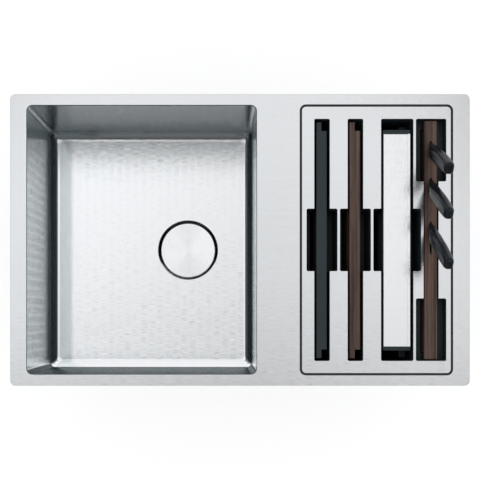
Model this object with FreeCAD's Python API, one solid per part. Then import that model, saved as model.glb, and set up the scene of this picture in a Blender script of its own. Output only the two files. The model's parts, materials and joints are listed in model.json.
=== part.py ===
import FreeCAD, Part
import math
import os
from FreeCAD import Vector

# A drop-in kitchen sink of stainless steel: one flat rim around a washing bowl and, at its
# right, a compartment closed by a flush plate with four storage slots. The slots hold two
# chopping boards, a colander and a knife block with three knives.
# Millimetres. +X runs to the right, +Y to the back, +Z up. The origin is the centre of the
# seat: the plane where the sealing strip lies on the worktop.

# Driving dimensions: rim
RIM_CORNER = 9.0
DECK_SHEET = 1.5
EDGE_BREAK = 0.4
SEAL_HEIGHT = 1.5
SEAL_WIDTH = 9.0
SEAL_INSET = 2.0

# Washing bowl, and the rim round it
BOWL_X = 410.0
BOWL_DEPTH = 200.0
BOWL_MARGIN = 29.5
BOWL_TO_CUTOUT = 77.5
BOWL_SET_BACK = 1.5
BOWL_CORNER = 10.0
BOWL_FLOOR_ROLL = 17.0
BOWL_EDGE_ROLL = 1.3
BOWL_SHEET = 1.2
ROLL_STEPS = 6

# Waste of the washing bowl
WASTE_FROM_BOWL_SIDE = 130.5
WASTE_Y = 0.0
RECESS_RADIUS = 61.0
RECESS_DEPTH = 13.0
RECESS_ROLL = 6.0
WASTE_HOLE_RADIUS = 44.0
COVER_RADIUS = 55.5
COVER_DROP = 3.5
COVER_SHEET = 1.5

# Compartment, its plate and the slots in the plate
CUTOUT_MARGIN_X = 30.0
CUTOUT_MARGIN_Y = 18.5
CUTOUT_CORNER = 11.0
PLATE_GAP = 3.5
LEDGE = 8.0
LEDGE_UNDER_DECK = 7.0
LEDGE_STRIP = 1.0
LEDGE_STRIP_WIDTH = 7.0
BOX_FLOOR_ROLL = 12.0
GRIP_LENGTH = 111.0
GRIP_REACH = 13.7
SLOT_WEB = 5.2
SLOT_CORNER = 2.6
SLOT_INNER_CORNER = 1.0
SLOT_MARGIN_X = 8.75
SLOT_MARGIN_Y = 22.25

# Moulded well under each slot
WELL_SKIN = 1.8
WELL_RELIEF = 0.5
WELL_OFF_FLOOR = 11.0
WELL_TAB_SHEET = 2.5
GRIP_DEPTH = 60.0
BLOCK_GRIP_DEPTH = 19.5
WELL_DRAIN_SPREAD = 140.0
WELL_DRAIN_LENGTH = 40.0
WELL_DRAIN_WIDTH = 8.0
STUD_RADIUS = 2.0
STUD_LENGTH = 9.0

# What stands in the slots
BOARD_OVER_BOWL = 6.5
BOARD_STEP = 15.5
BOARD_THICK = 19.0
BOARD_BELOW_PLATE = 4.0
COLANDER_LIP = 21.0
COLANDER_DEPTH = 49.0
COLANDER_SHEET = 1.0
BLOCK_THICK = 22.0
BLOCK_EAR = 12.5
BLOCK_EAR_HEIGHT = 10.0
BLOCK_BELOW_PLATE = 2.0

# Clearances, one for each kind of seat
SEAT_GAP = 0.3
BOARD_SLACK = 4.0
SLOT_END_GAP = 4.25
BLOCK_END_GAP = 2.75
BLOCK_OFF_FLOOR = 8.0
WELL_SLACK = 1.0
SLIT_CLEARANCE = 0.7
THREAD_GAP = 0.1

# The boards bridge the bowl, the slots hold the boards, and the plate and the rim go round them
BOARD_LENGTH = BOWL_X + 2 * BOARD_OVER_BOWL
SLOT_LENGTH = BOARD_LENGTH + 2 * SLOT_END_GAP
CUTOUT_Y = SLOT_LENGTH + 2 * (SLOT_MARGIN_Y + PLATE_GAP)
BOWL_Y = CUTOUT_Y - 2 * BOWL_SET_BACK
RIM_Y = CUTOUT_Y + 2 * CUTOUT_MARGIN_Y
WELL_DEPTH = BOWL_DEPTH - WELL_OFF_FLOOR
BOARD_HEIGHT = WELL_DEPTH - BOARD_BELOW_PLATE
COLANDER_LENGTH = BOARD_LENGTH - 2 * COLANDER_LIP
BLOCK_LENGTH = SLOT_LENGTH - 2 * BLOCK_END_GAP
BLOCK_HEIGHT = WELL_DEPTH - BLOCK_OFF_FLOOR

# Width of each slot between the grips, and whether its grips are at the middle or the ends
SLOTS = {
    "black_board": (BOARD_THICK + 2 * BOARD_SLACK, "middle"),
    "wood_board": (BOARD_THICK + 2 * BOARD_SLACK, "middle"),
    "colander": (COLANDER_DEPTH + 2 * BOARD_SLACK, "middle"),
    "knife_block": (BLOCK_THICK + BOARD_SLACK, "ends"),
}


def slot_places():
    """Centre line of each slot from the first one's edge, and how far they reach in all.

    Neighbours nest with one web of steel between them.
    """
    centres = {}
    x = GRIP_REACH
    for name, (width, grips) in SLOTS.items():
        if grips == "ends":
            x -= GRIP_REACH
        centres[name] = x + width / 2
        reach = x + width + GRIP_REACH
        x = reach + SLOT_WEB + GRIP_REACH
    return centres, reach


SLOT_CENTRES, SLOTS_REACH = slot_places()
CUTOUT_X = SLOTS_REACH + 2 * (SLOT_MARGIN_X + PLATE_GAP)
RIM_X = BOWL_MARGIN + BOWL_X + BOWL_TO_CUTOUT + CUTOUT_X + CUTOUT_MARGIN_X

# Levels and edges that follow from the sizes above
DECK_LOW = SEAL_HEIGHT
DECK_TOP = SEAL_HEIGHT + DECK_SHEET
LEDGE_TOP = DECK_LOW - LEDGE_STRIP
FLOOR_Z = DECK_TOP - BOWL_DEPTH
BOWL_X0 = -RIM_X / 2 + BOWL_MARGIN
BOWL_X1 = BOWL_X0 + BOWL_X
WASTE_X = BOWL_X1 - WASTE_FROM_BOWL_SIDE
CUTOUT_X0 = BOWL_X1 + BOWL_TO_CUTOUT
CUTOUT_X1 = CUTOUT_X0 + CUTOUT_X
BOX_X0 = CUTOUT_X0 + LEDGE
BOX_X1 = CUTOUT_X1 - LEDGE
BOX_Y1 = CUTOUT_Y / 2 - LEDGE
PLATE_X0 = CUTOUT_X0 + PLATE_GAP
PLATE_X1 = CUTOUT_X1 - PLATE_GAP
PLATE_Y1 = CUTOUT_Y / 2 - PLATE_GAP
SLOT_X = {name: PLATE_X0 + SLOT_MARGIN_X + x for name, x in SLOT_CENTRES.items()}
WELL_FLOOR = DECK_LOW - WELL_DEPTH
RECESS_FLOOR = FLOOR_Z - RECESS_DEPTH
BLOCK_TOP = DECK_TOP - BLOCK_BELOW_PLATE
BLOCK_WELL_END = BLOCK_LENGTH / 2 - BLOCK_EAR + 2


def box(x0, x1, y0, y1, z0, z1):
    """A block between two corners."""
    return Part.makeBox(x1 - x0, y1 - y0, z1 - z0, Vector(x0, y0, z0))


def cylinder(radius, x, y, z0, z1):
    """An upright cylinder."""
    return Part.makeCylinder(radius, z1 - z0, Vector(x, y, z0))


def fuse_all(solids):
    """One solid from solids that meet or overlap."""
    whole = solids[0]
    if len(solids) > 1:
        whole = whole.multiFuse(solids[1:])
    return whole.removeSplitter()


def rounded_wire(corners, place):
    """Closed outline through (a, b, radius) corners; place turns (a, b) into a point."""
    edges = []
    starts, ends, mids = [], [], []
    count = len(corners)
    for i, (a, b, radius) in enumerate(corners):
        here = Vector(a, b, 0)
        before = Vector(*corners[i - 1][:2], 0) - here
        after = Vector(*corners[(i + 1) % count][:2], 0) - here
        before.normalize()
        after.normalize()
        half = before.getAngle(after) / 2
        run = radius / math.tan(half)
        starts.append(here + before * run)
        ends.append(here + after * run)
        bisector = before + after
        if radius > 0:
            bisector.normalize()
            mids.append(here + bisector * (radius / math.sin(half) - radius))
        else:
            mids.append(here)
    for i, (_, _, radius) in enumerate(corners):
        start, mid, end = (place(p.x, p.y) for p in (starts[i], mids[i], ends[i]))
        if radius > 0:
            edges.append(Part.Arc(start, mid, end).toShape())
        following = starts[(i + 1) % count]
        target = place(following.x, following.y)
        if end.distanceToPoint(target) > 1e-6:
            edges.append(Part.makeLine(end, target))
    return Part.Wire(edges)


def plan_prism(corners, z0, z1):
    """A plan outline of (x, y, radius) corners extruded from z0 to z1."""
    wire = rounded_wire(corners, lambda x, y: Vector(x, y, z0))
    return Part.Face(wire).extrude(Vector(0, 0, z1 - z0))


def rectangle(x0, x1, y0, y1, radius):
    """Corners of a rounded rectangle."""
    return [(x0, y0, radius), (x1, y0, radius), (x1, y1, radius), (x0, y1, radius)]


def turned(corners, x=0.0, y=0.0):
    """A profile of (r, z, radius) corners turned about the upright line through (x, y)."""
    wire = rounded_wire(corners, lambda r, z: Vector(x + r, y, z))
    return Part.Face(wire).revolve(Vector(x, y, 0), Vector(0, 0, 1), 360)


def top_edges(sheet, x0, x1):
    """Edges of a sheet's top face at deck level that lie between two x limits."""
    level = [e for e in sheet.Edges if e.BoundBox.ZMin > DECK_TOP - 0.01]
    return [e for e in level if e.BoundBox.XMin > x0 - 1 and e.BoundBox.XMax < x1 + 1]


def bowl_form(x0, x1, y0, y1, floor, top, corner, roll):
    """Straight-walled form whose walls roll into a flat floor, the corners kept tight."""
    wires = []
    for step in range(ROLL_STEPS + 1):
        angle = math.pi / 2 * step / ROLL_STEPS
        inset = roll * (1 - math.sin(angle))
        z = floor + roll * (1 - math.cos(angle))
        plan = rectangle(x0 + inset, x1 - inset, y0 + inset, y1 - inset, corner)
        wires.append(rounded_wire(plan, lambda a, b, z=z: Vector(a, b, z)))
    rolled = Part.makeLoft(wires, True, False)
    walls = plan_prism(rectangle(x0, x1, y0, y1, corner), floor + roll, top)
    return rolled.fuse(walls)


def sheet_bowl(x0, x1, y0, y1, floor, top, corner, roll, sheet):
    """An open bowl of sheet, its inside faces on the given limits."""
    around = (x0 - sheet, x1 + sheet, y0 - sheet, y1 + sheet)
    outside = bowl_form(*around, floor - sheet, top, corner + sheet, roll + sheet)
    return outside.cut(bowl_form(x0, x1, y0, y1, floor, top + 1, corner, roll))


def slot_corners(name, grow):
    """Outline of one slot, grown all round: grips at its middle or at both ends."""
    width, grips = SLOTS[name]
    x = SLOT_X[name]
    narrow = width / 2 + grow
    wide = width / 2 + GRIP_REACH + grow
    end = SLOT_LENGTH / 2 + grow
    outer = SLOT_CORNER + grow
    inner = SLOT_INNER_CORNER
    if grips == "middle":
        step = GRIP_LENGTH / 2 + grow
        half = [(narrow, -end, outer), (narrow, -step, inner), (wide, -step, outer)]
    else:
        step = SLOT_LENGTH / 2 - GRIP_LENGTH - grow
        half = [(wide, -end, outer), (wide, -step, outer), (narrow, -step, inner)]
    right = half + [(a, -b, r) for a, b, r in reversed(half)]
    left = [(-a, b, r) for a, b, r in reversed(right)]
    return [(x + a, b, r) for a, b, r in right + left]


def narrow_corners(name, grow, half_length):
    """Outline of the straight well that runs the length of a slot, grown all round."""
    half = SLOTS[name][0] / 2 + grow
    end = half_length + grow
    x = SLOT_X[name]
    return rectangle(x - half, x + half, -end, end, SLOT_CORNER + grow)


# ---- the fixed sink ----


def make_deck():
    """Flat rim sheet: the bowl's opening with a rolled edge, the compartment's cut-out."""
    x, y = RIM_X / 2, RIM_Y / 2
    sheet = plan_prism(rectangle(-x, x, -y, y, RIM_CORNER), DECK_LOW, DECK_TOP)
    sheet = sheet.makeChamfer(EDGE_BREAK, top_edges(sheet, -x, x))
    opening = rectangle(BOWL_X0, BOWL_X1, -BOWL_Y / 2, BOWL_Y / 2, BOWL_CORNER)
    sheet = sheet.cut(plan_prism(opening, DECK_LOW - 1, DECK_TOP + 1))
    sheet = sheet.makeFillet(BOWL_EDGE_ROLL, top_edges(sheet, BOWL_X0, BOWL_X1))
    cutout = rectangle(CUTOUT_X0, CUTOUT_X1, -CUTOUT_Y / 2, CUTOUT_Y / 2, CUTOUT_CORNER)
    sheet = sheet.cut(plan_prism(cutout, DECK_LOW - 1, DECK_TOP + 1))
    return sheet.makeChamfer(EDGE_BREAK, top_edges(sheet, CUTOUT_X0, CUTOUT_X1))


def make_main_bowl():
    """Washing bowl welded under the rim, with a round hole for the waste's recess."""
    limits = (BOWL_X0, BOWL_X1, -BOWL_Y / 2, BOWL_Y / 2, FLOOR_Z, DECK_LOW)
    bowl = sheet_bowl(*limits, BOWL_CORNER, BOWL_FLOOR_ROLL, BOWL_SHEET)
    outer = RECESS_RADIUS + BOWL_SHEET
    return bowl.cut(cylinder(outer, WASTE_X, WASTE_Y, FLOOR_Z - BOWL_FLOOR_ROLL, FLOOR_Z + 1))


def make_waste_recess():
    """Round pan welded into the floor of the bowl, with the hole for the waste."""
    outer = RECESS_RADIUS + BOWL_SHEET
    low = RECESS_FLOOR - BOWL_SHEET
    lip = BOWL_SHEET / 2
    profile = [
        (WASTE_HOLE_RADIUS, low, 0),
        (outer, low, RECESS_ROLL + BOWL_SHEET),
        (outer, FLOOR_Z, 0),
        (RECESS_RADIUS + lip, FLOOR_Z, 0),
        (RECESS_RADIUS, FLOOR_Z - lip, 0),
        (RECESS_RADIUS, RECESS_FLOOR, RECESS_ROLL),
        (WASTE_HOLE_RADIUS, RECESS_FLOOR, 0),
    ]
    return turned(profile, WASTE_X, WASTE_Y)


def frame_strip(x, y, width, corner, z0, z1):
    """Flat strip inside the outline that stands x, y outside the compartment's cut-out."""
    outer = rectangle(CUTOUT_X0 - x, CUTOUT_X1 + x, -CUTOUT_Y / 2 - y, CUTOUT_Y / 2 + y, corner)
    x, y = x - width, y - width
    inner = rectangle(CUTOUT_X0 - x, CUTOUT_X1 + x, -CUTOUT_Y / 2 - y, CUTOUT_Y / 2 + y, BOWL_CORNER)
    return plan_prism(outer, z0, z1).cut(plan_prism(inner, z0 - 1, z1 + 1))


def make_accessory_bowl():
    """Deep box under the compartment's cut-out; its set-down ledge carries the plate."""
    limits = (BOX_X0, BOX_X1, -BOX_Y1, BOX_Y1, FLOOR_Z, LEDGE_TOP)
    shell = sheet_bowl(*limits, BOWL_CORNER, BOX_FLOOR_ROLL, BOWL_SHEET)
    out, bend = LEDGE_UNDER_DECK, BOWL_SHEET
    flange = frame_strip(out, out, out, CUTOUT_CORNER, DECK_LOW - BOWL_SHEET, DECK_LOW)
    joggle = frame_strip(bend, bend, bend, CUTOUT_CORNER, LEDGE_TOP - BOWL_SHEET, DECK_LOW)
    ledge = frame_strip(bend, bend, bend + LEDGE, CUTOUT_CORNER, LEDGE_TOP - BOWL_SHEET, LEDGE_TOP)
    outlet = cylinder(BOX_OUTLET_RADIUS, BOX_OUTLET_X, WASTE_Y, FLOOR_Z - 5, FLOOR_Z + 5)
    return fuse_all([shell, flange, joggle, ledge]).cut(outlet)


def make_ledge_strip():
    """Black rubber strip on the ledge, on which the plate lies quiet."""
    return frame_strip(0, 0, LEDGE_STRIP_WIDTH, CUTOUT_CORNER, LEDGE_TOP, DECK_LOW)


def make_rim_seal():
    """Foam sealing strip under the edge of the rim."""
    x, y = RIM_X / 2 - SEAL_INSET, RIM_Y / 2 - SEAL_INSET
    outer = plan_prism(rectangle(-x, x, -y, y, RIM_CORNER - SEAL_INSET), 0, SEAL_HEIGHT)
    x, y = x - SEAL_WIDTH, y - SEAL_WIDTH
    return outer.cut(plan_prism(rectangle(-x, x, -y, y, 2), -1, SEAL_HEIGHT + 1))


# Sound-deadening pads, glued flat on the outside of the bowl
PAD_THICK = 3.0
PAD_WALL_HEIGHT = 100.0
PAD_WALL_TOP = -55.0
PAD_SIDE_LENGTH = 300.0
PAD_END_LENGTH = 250.0
PAD_FLOOR_X = 110.0
PAD_FLOOR_Y = 330.0
PAD_FLOOR_INSET = 45.0


def make_sound_pads():
    """Pads on three walls and under the floor of the washing bowl."""
    low = PAD_WALL_TOP - PAD_WALL_HEIGHT
    left = BOWL_X0 - BOWL_SHEET
    half = PAD_SIDE_LENGTH / 2
    pads = [box(left - PAD_THICK, left, -half, half, low, PAD_WALL_TOP)]
    middle, half = (BOWL_X0 + BOWL_X1) / 2, PAD_END_LENGTH / 2
    for side in (-1, 1):
        face = side * (BOWL_Y / 2 + BOWL_SHEET)
        y0, y1 = sorted((face, face + side * PAD_THICK))
        pads.append(box(middle - half, middle + half, y0, y1, low, PAD_WALL_TOP))
    under = FLOOR_Z - BOWL_SHEET
    x = BOWL_X0 + PAD_FLOOR_INSET
    pads.append(box(x, x + PAD_FLOOR_X, -PAD_FLOOR_Y / 2, PAD_FLOOR_Y / 2, under - PAD_THICK, under))
    return Part.makeCompound(pads)


# Fixing clips: a bracket welded to the bowl, a screw in its foot and a claw on the screw
CLIP_SPREAD = 160.0
CLIP_SHEET = 1.5
CLIP_WIDTH = 22.0
CLIP_TOP = -3.0
CLIP_FOOT_Z = -40.0
CLIP_FOOT_REACH = 14.0
CLIP_SCREW_OUT = 7.5
CLIP_SCREW_RADIUS = 2.5
CLIP_SCREW_TOP = -12.0
CLIP_HEAD_RADIUS = 4.6
CLIP_HEAD_HEIGHT = 3.0
CLAW_Z = -27.0
CLAW_SHEET = 3.0
CLAW_WIDTH = 16.0
CLAW_TIP = 20.0
CLAW_TOOTH = 5.0
SCREW_HOLE_GAP = 0.3


def clip_places():
    """(x, y, outward angle) of each clip's back face against the steel."""
    left = BOWL_X0 - BOWL_SHEET
    right = BOX_X1 + BOWL_SHEET
    places = [(left, y, 180) for y in (-CLIP_SPREAD, CLIP_SPREAD)]
    places += [(right, y, 0) for y in (-CLIP_SPREAD, CLIP_SPREAD)]
    middle = (BOX_X0 + BOX_X1) / 2
    for x in (middle - CLIP_SPREAD / 2, middle + CLIP_SPREAD / 2):
        places += [(x, BOX_Y1 + BOWL_SHEET, 90), (x, -BOX_Y1 - BOWL_SHEET, -90)]
    return places


def at_clip(shape, place):
    """Move a clip piece, drawn with its back on the plane x = 0, to its place."""
    x, y, angle = place
    moved = shape.copy()
    moved.rotate(Vector(0, 0, 0), Vector(0, 0, 1), angle)
    moved.translate(Vector(x, y, 0))
    return moved


def clip_bracket():
    """Angle of sheet: the back is welded to the bowl and the foot holds the screw."""
    half = CLIP_WIDTH / 2
    profile = [
        (0, CLIP_TOP, 0),
        (CLIP_SHEET, CLIP_TOP, 0),
        (CLIP_SHEET, CLIP_FOOT_Z + CLIP_SHEET, 0),
        (CLIP_FOOT_REACH, CLIP_FOOT_Z + CLIP_SHEET, 0),
        (CLIP_FOOT_REACH, CLIP_FOOT_Z, 0),
        (0, CLIP_FOOT_Z, CLIP_SHEET),
    ]
    wire = rounded_wire(profile, lambda x, z: Vector(x, -half, z))
    angle = Part.Face(wire).extrude(Vector(0, CLIP_WIDTH, 0))
    hole = cylinder(CLIP_SCREW_RADIUS, CLIP_SCREW_OUT, 0, CLIP_FOOT_Z - 1, CLIP_FOOT_Z + CLIP_SHEET + 1)
    return angle.cut(hole)


def clip_claw():
    """Flat claw on the screw, with a tooth that bites the worktop from below."""
    half = CLAW_WIDTH / 2
    top = CLAW_Z + CLAW_SHEET
    profile = [
        (CLIP_SHEET + 0.5, CLAW_Z, 1),
        (CLAW_TIP, CLAW_Z, 1.5),
        (CLAW_TIP, top + CLAW_TOOTH, 0),
        (CLAW_TIP - CLAW_SHEET / 2, top + CLAW_TOOTH, 0),
        (CLAW_TIP - CLAW_SHEET, top, 0),
        (CLIP_SHEET + 0.5, top, 0),
    ]
    wire = rounded_wire(profile, lambda x, z: Vector(x, -half, z))
    claw = Part.Face(wire).extrude(Vector(0, CLAW_WIDTH, 0))
    return claw.cut(cylinder(CLIP_SCREW_RADIUS, CLIP_SCREW_OUT, 0, CLAW_Z - 1, top + 1))


def clip_screw():
    """Screw from below, its head against the bracket's foot."""
    shank = cylinder(CLIP_SCREW_RADIUS, CLIP_SCREW_OUT, 0, CLIP_FOOT_Z - 0.5, CLIP_SCREW_TOP)
    head = cylinder(CLIP_HEAD_RADIUS, CLIP_SCREW_OUT, 0, CLIP_FOOT_Z - CLIP_HEAD_HEIGHT, CLIP_FOOT_Z)
    slot = box(
        CLIP_SCREW_OUT - CLIP_HEAD_RADIUS,
        CLIP_SCREW_OUT + CLIP_HEAD_RADIUS,
        -0.6,
        0.6,
        CLIP_FOOT_Z - CLIP_HEAD_HEIGHT - 1,
        CLIP_FOOT_Z - CLIP_HEAD_HEIGHT + 1.2,
    )
    return shank.fuse(head).cut(slot)


def at_all_clips(piece):
    """The same clip piece at every clip."""
    return Part.makeCompound([at_clip(piece, place) for place in clip_places()])


# ---- waste of the washing bowl ----

GASKET = 1.0
FLANGE_RADIUS = 53.0
FLANGE_SHEET = 1.2
CUP_RADIUS = 41.5
CUP_DEPTH = 34.0
CUP_HOLES = 8
CUP_HOLE_RADIUS = 5.0
CUP_HOLE_CIRCLE = 23.0
BOLT_RADIUS = 4.0
BODY_WALL = 3.0
BODY_FLANGE_RADIUS = 54.0
BODY_DEPTH = 52.0
BODY_INLET_REACH = 74.0
BODY_BOSS_RADIUS = 8.0
BODY_ARM = 4.0
BODY_ARM_HEIGHT = 13.0
BOLT_DEPTH = 16.0
BOLT_HEAD_RADIUS = 8.0
BOLT_HEAD_HEIGHT = 4.0
OUTLET_RADIUS = 23.9
OUTLET_LENGTH = 34.0
OUTLET_BELOW_FLOOR = 101.0
SEAT_Z = RECESS_FLOOR + GASKET
CUP_FLOOR = SEAT_Z - CUP_DEPTH
OUTLET_END_Z = FLOOR_Z - OUTLET_BELOW_FLOOR
BODY_TOP = RECESS_FLOOR - BOWL_SHEET - GASKET

# Waste of the compartment and the pipe between the two
BOX_OUTLET_RADIUS = 24.0
BOX_OUTLET_X = (BOX_X0 + BOX_X1) / 2
LINK_BELOW_FLOOR = 43.0
LINK_Z = FLOOR_Z - LINK_BELOW_FLOOR
LINK_RADIUS = 16.0
LINK_WALL = 2.0
FITTING_WALL = 3.0


def ring(radius, inner, z0, z1, x, y):
    """Flat ring about an upright line."""
    return cylinder(radius, x, y, z0, z1).cut(cylinder(inner, x, y, z0 - 1, z1 + 1))


def make_drain_flange():
    """Steel cup of the waste: a flange in the recess and a holed floor."""
    top = SEAT_Z + FLANGE_SHEET
    cup = turned(
        [
            (CUP_RADIUS, CUP_FLOOR - FLANGE_SHEET, 3),
            (CUP_RADIUS, SEAT_Z, 0.5),
            (FLANGE_RADIUS, SEAT_Z, 0),
            (FLANGE_RADIUS, top, 0.5),
            (CUP_RADIUS - FLANGE_SHEET, top, 1.5),
            (CUP_RADIUS - FLANGE_SHEET, CUP_FLOOR, 2),
            (BOLT_RADIUS, CUP_FLOOR, 0),
            (BOLT_RADIUS, CUP_FLOOR - FLANGE_SHEET, 0),
        ],
        WASTE_X,
        WASTE_Y,
    )
    for i in range(CUP_HOLES):
        angle = 2 * math.pi * i / CUP_HOLES
        x = WASTE_X + CUP_HOLE_CIRCLE * math.cos(angle)
        y = WASTE_Y + CUP_HOLE_CIRCLE * math.sin(angle)
        cup = cup.cut(cylinder(CUP_HOLE_RADIUS, x, y, CUP_FLOOR - 3, CUP_FLOOR + 3))
    return cup


def make_flange_gasket():
    """Ring between the recess and the flange."""
    return ring(FLANGE_RADIUS - 1, WASTE_HOLE_RADIUS + 1, RECESS_FLOOR, SEAT_Z, WASTE_X, WASTE_Y)


def make_drain_gasket():
    """Ring between the underside of the recess and the waste body."""
    top = RECESS_FLOOR - BOWL_SHEET
    return ring(BODY_FLANGE_RADIUS - 1, WASTE_HOLE_RADIUS + 1, top - GASKET, top, WASTE_X, WASTE_Y)


def make_drain_body():
    """Moulded waste body: a funnel with a side inlet and a threaded outlet below."""
    low = BODY_TOP - BODY_DEPTH
    inner_top = CUP_RADIUS + 1.5
    body = turned(
        [
            (inner_top, BODY_TOP, 0),
            (BODY_FLANGE_RADIUS, BODY_TOP, 0),
            (BODY_FLANGE_RADIUS, BODY_TOP - 4, 1),
            (inner_top + BODY_WALL, BODY_TOP - 4, 1),
            (inner_top + BODY_WALL, low + 14, 6),
            (OUTLET_RADIUS + 4, low, 2),
            (OUTLET_RADIUS, low - 2, 0),
            (OUTLET_RADIUS, OUTLET_END_Z, 0),
            (OUTLET_RADIUS - BODY_WALL, OUTLET_END_Z, 0),
            (OUTLET_RADIUS - BODY_WALL, low + 2, 2),
            (inner_top, low + 16, 4),
        ],
        WASTE_X,
        WASTE_Y,
    )
    start = Vector(WASTE_X + inner_top / 2, WASTE_Y, LINK_Z)
    length = BODY_INLET_REACH - inner_top / 2
    spigot = Part.makeCylinder(LINK_RADIUS + FITTING_WALL, length, start, Vector(1, 0, 0))
    middle = Vector(WASTE_X, WASTE_Y, LINK_Z)
    inlet_bore = Part.makeCylinder(LINK_RADIUS, BODY_INLET_REACH, middle, Vector(1, 0, 0))
    inlet_bore = inlet_bore.cut(cylinder(OUTLET_RADIUS - BODY_WALL, WASTE_X, WASTE_Y, OUTLET_END_Z, 0))
    funnel = cylinder(inner_top, WASTE_X, WASTE_Y, low + 12, BODY_TOP + 1)
    body = body.fuse(spigot.cut(funnel)).fuse(body_spider(low, inner_top)).cut(inlet_bore)
    bolt_hole = (BOLT_RADIUS + THREAD_GAP, WASTE_X, WASTE_Y, CUP_FLOOR - BOLT_DEPTH, CUP_FLOOR)
    return body.cut(cylinder(*bolt_hole))


def body_spider(low, reach):
    """Four arms across the waste body and the boss that takes the bolt."""
    half = BODY_ARM / 2
    bottom, top = low + BODY_ARM, low + BODY_ARM + BODY_ARM_HEIGHT
    boss = cylinder(BODY_BOSS_RADIUS, WASTE_X, WASTE_Y, bottom, CUP_FLOOR - FLANGE_SHEET)
    long = reach + 1
    along = box(WASTE_X - long, WASTE_X + long, WASTE_Y - half, WASTE_Y + half, bottom, top)
    across = box(WASTE_X - half, WASTE_X + half, WASTE_Y - long, WASTE_Y + long, bottom, top)
    inside = [(0, BODY_TOP, 0), (long, BODY_TOP, 0), (long, low + 15, 5), (20, low, 0), (0, low, 0)]
    return fuse_all([boss, along, across]).common(turned(inside, WASTE_X, WASTE_Y))


def make_drain_bolt():
    """Central bolt that pulls the flange and the body together."""
    shank = cylinder(BOLT_RADIUS, WASTE_X, WASTE_Y, CUP_FLOOR - BOLT_DEPTH, CUP_FLOOR + 0.5)
    top = CUP_FLOOR + BOLT_HEAD_HEIGHT
    profile = [
        (0, CUP_FLOOR, 0),
        (BOLT_HEAD_RADIUS, CUP_FLOOR, 0),
        (BOLT_HEAD_RADIUS, top - 2, 1),
        (BOLT_HEAD_RADIUS - 3, top, 1),
        (0, top, 0),
    ]
    reach = BOLT_HEAD_RADIUS + 1
    slot = box(WASTE_X - reach, WASTE_X + reach, WASTE_Y - 0.8, WASTE_Y + 0.8, top - 1.4, top + 1)
    return shank.fuse(turned(profile, WASTE_X, WASTE_Y)).cut(slot)


# ---- the basket and the cover, which lift out ----

BASKET_RIM = 46.5
BASKET_RADIUS = 37.5
BASKET_DEPTH = 24.0
BASKET_SHEET = 0.8
BASKET_SLOTS = 20
BASKET_SLOT_WIDTH = 3.0
KNOB_RADIUS = 7.0
KNOB_STEM = 3.0
FLANGE_TOP = SEAT_Z + FLANGE_SHEET
COVER_TOP = FLOOR_Z - COVER_DROP
COVER_LOW = COVER_TOP - COVER_SHEET
KNOB_TOP = COVER_LOW - SEAT_GAP
BASKET_FLOOR = FLANGE_TOP - BASKET_DEPTH


def make_strainer_basket():
    """Slotted steel cup that hangs in the waste by its rim."""
    top = FLANGE_TOP + BASKET_SHEET
    basket = turned(
        [
            (KNOB_STEM, BASKET_FLOOR - BASKET_SHEET, 0),
            (BASKET_RADIUS - 5, BASKET_FLOOR - BASKET_SHEET, 3),
            (BASKET_RADIUS, FLANGE_TOP, 0),
            (BASKET_RIM, FLANGE_TOP, 0),
            (BASKET_RIM, top, 0),
            (BASKET_RADIUS - BASKET_SHEET, top, 0),
            (BASKET_RADIUS - 5 - BASKET_SHEET, BASKET_FLOOR, 2),
            (KNOB_STEM, BASKET_FLOOR, 0),
        ],
        WASTE_X,
        WASTE_Y,
    )
    half = BASKET_SLOT_WIDTH / 2
    slot = box(16, BASKET_RADIUS + 4, -half, half, BASKET_FLOOR - 3, FLANGE_TOP - 4)
    slots = []
    for i in range(BASKET_SLOTS):
        cutter = slot.copy()
        cutter.rotate(Vector(0, 0, 0), Vector(0, 0, 1), 360 * i / BASKET_SLOTS)
        cutter.translate(Vector(WASTE_X, WASTE_Y, 0))
        slots.append(cutter)
    return basket.cut(slots)


def make_basket_knob():
    """Stem and knob to lift the basket by; its top carries the cover."""
    return turned(
        [
            (0, BASKET_FLOOR - 4, 0),
            (5.5, BASKET_FLOOR - 4, 0.5),
            (5.5, BASKET_FLOOR - BASKET_SHEET, 0),
            (KNOB_STEM, BASKET_FLOOR - BASKET_SHEET, 0),
            (KNOB_STEM, KNOB_TOP - 8, 1),
            (KNOB_RADIUS, KNOB_TOP - 5, 1),
            (KNOB_RADIUS, KNOB_TOP, 1),
            (0, KNOB_TOP, 0),
        ],
        WASTE_X,
        WASTE_Y,
    )


def make_waste_cover():
    """Turned disc that hides the waste, with a socket over the basket's knob."""
    lip = 3.0
    socket_inner = KNOB_RADIUS + SEAT_GAP
    disc = turned(
        [
            (0, COVER_LOW, 0),
            (COVER_RADIUS - COVER_SHEET, COVER_LOW, 1),
            (COVER_RADIUS - COVER_SHEET, COVER_TOP - lip, 0),
            (COVER_RADIUS, COVER_TOP - lip, 0),
            (COVER_RADIUS, COVER_TOP, 1),
            (0, COVER_TOP, 0),
        ],
        WASTE_X,
        WASTE_Y,
    )
    socket = ring(socket_inner + 1.5, socket_inner, KNOB_TOP - 3.5, COVER_LOW + 0.5, WASTE_X, WASTE_Y)
    return disc.fuse(socket)


# ---- waste of the compartment ----

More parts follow.
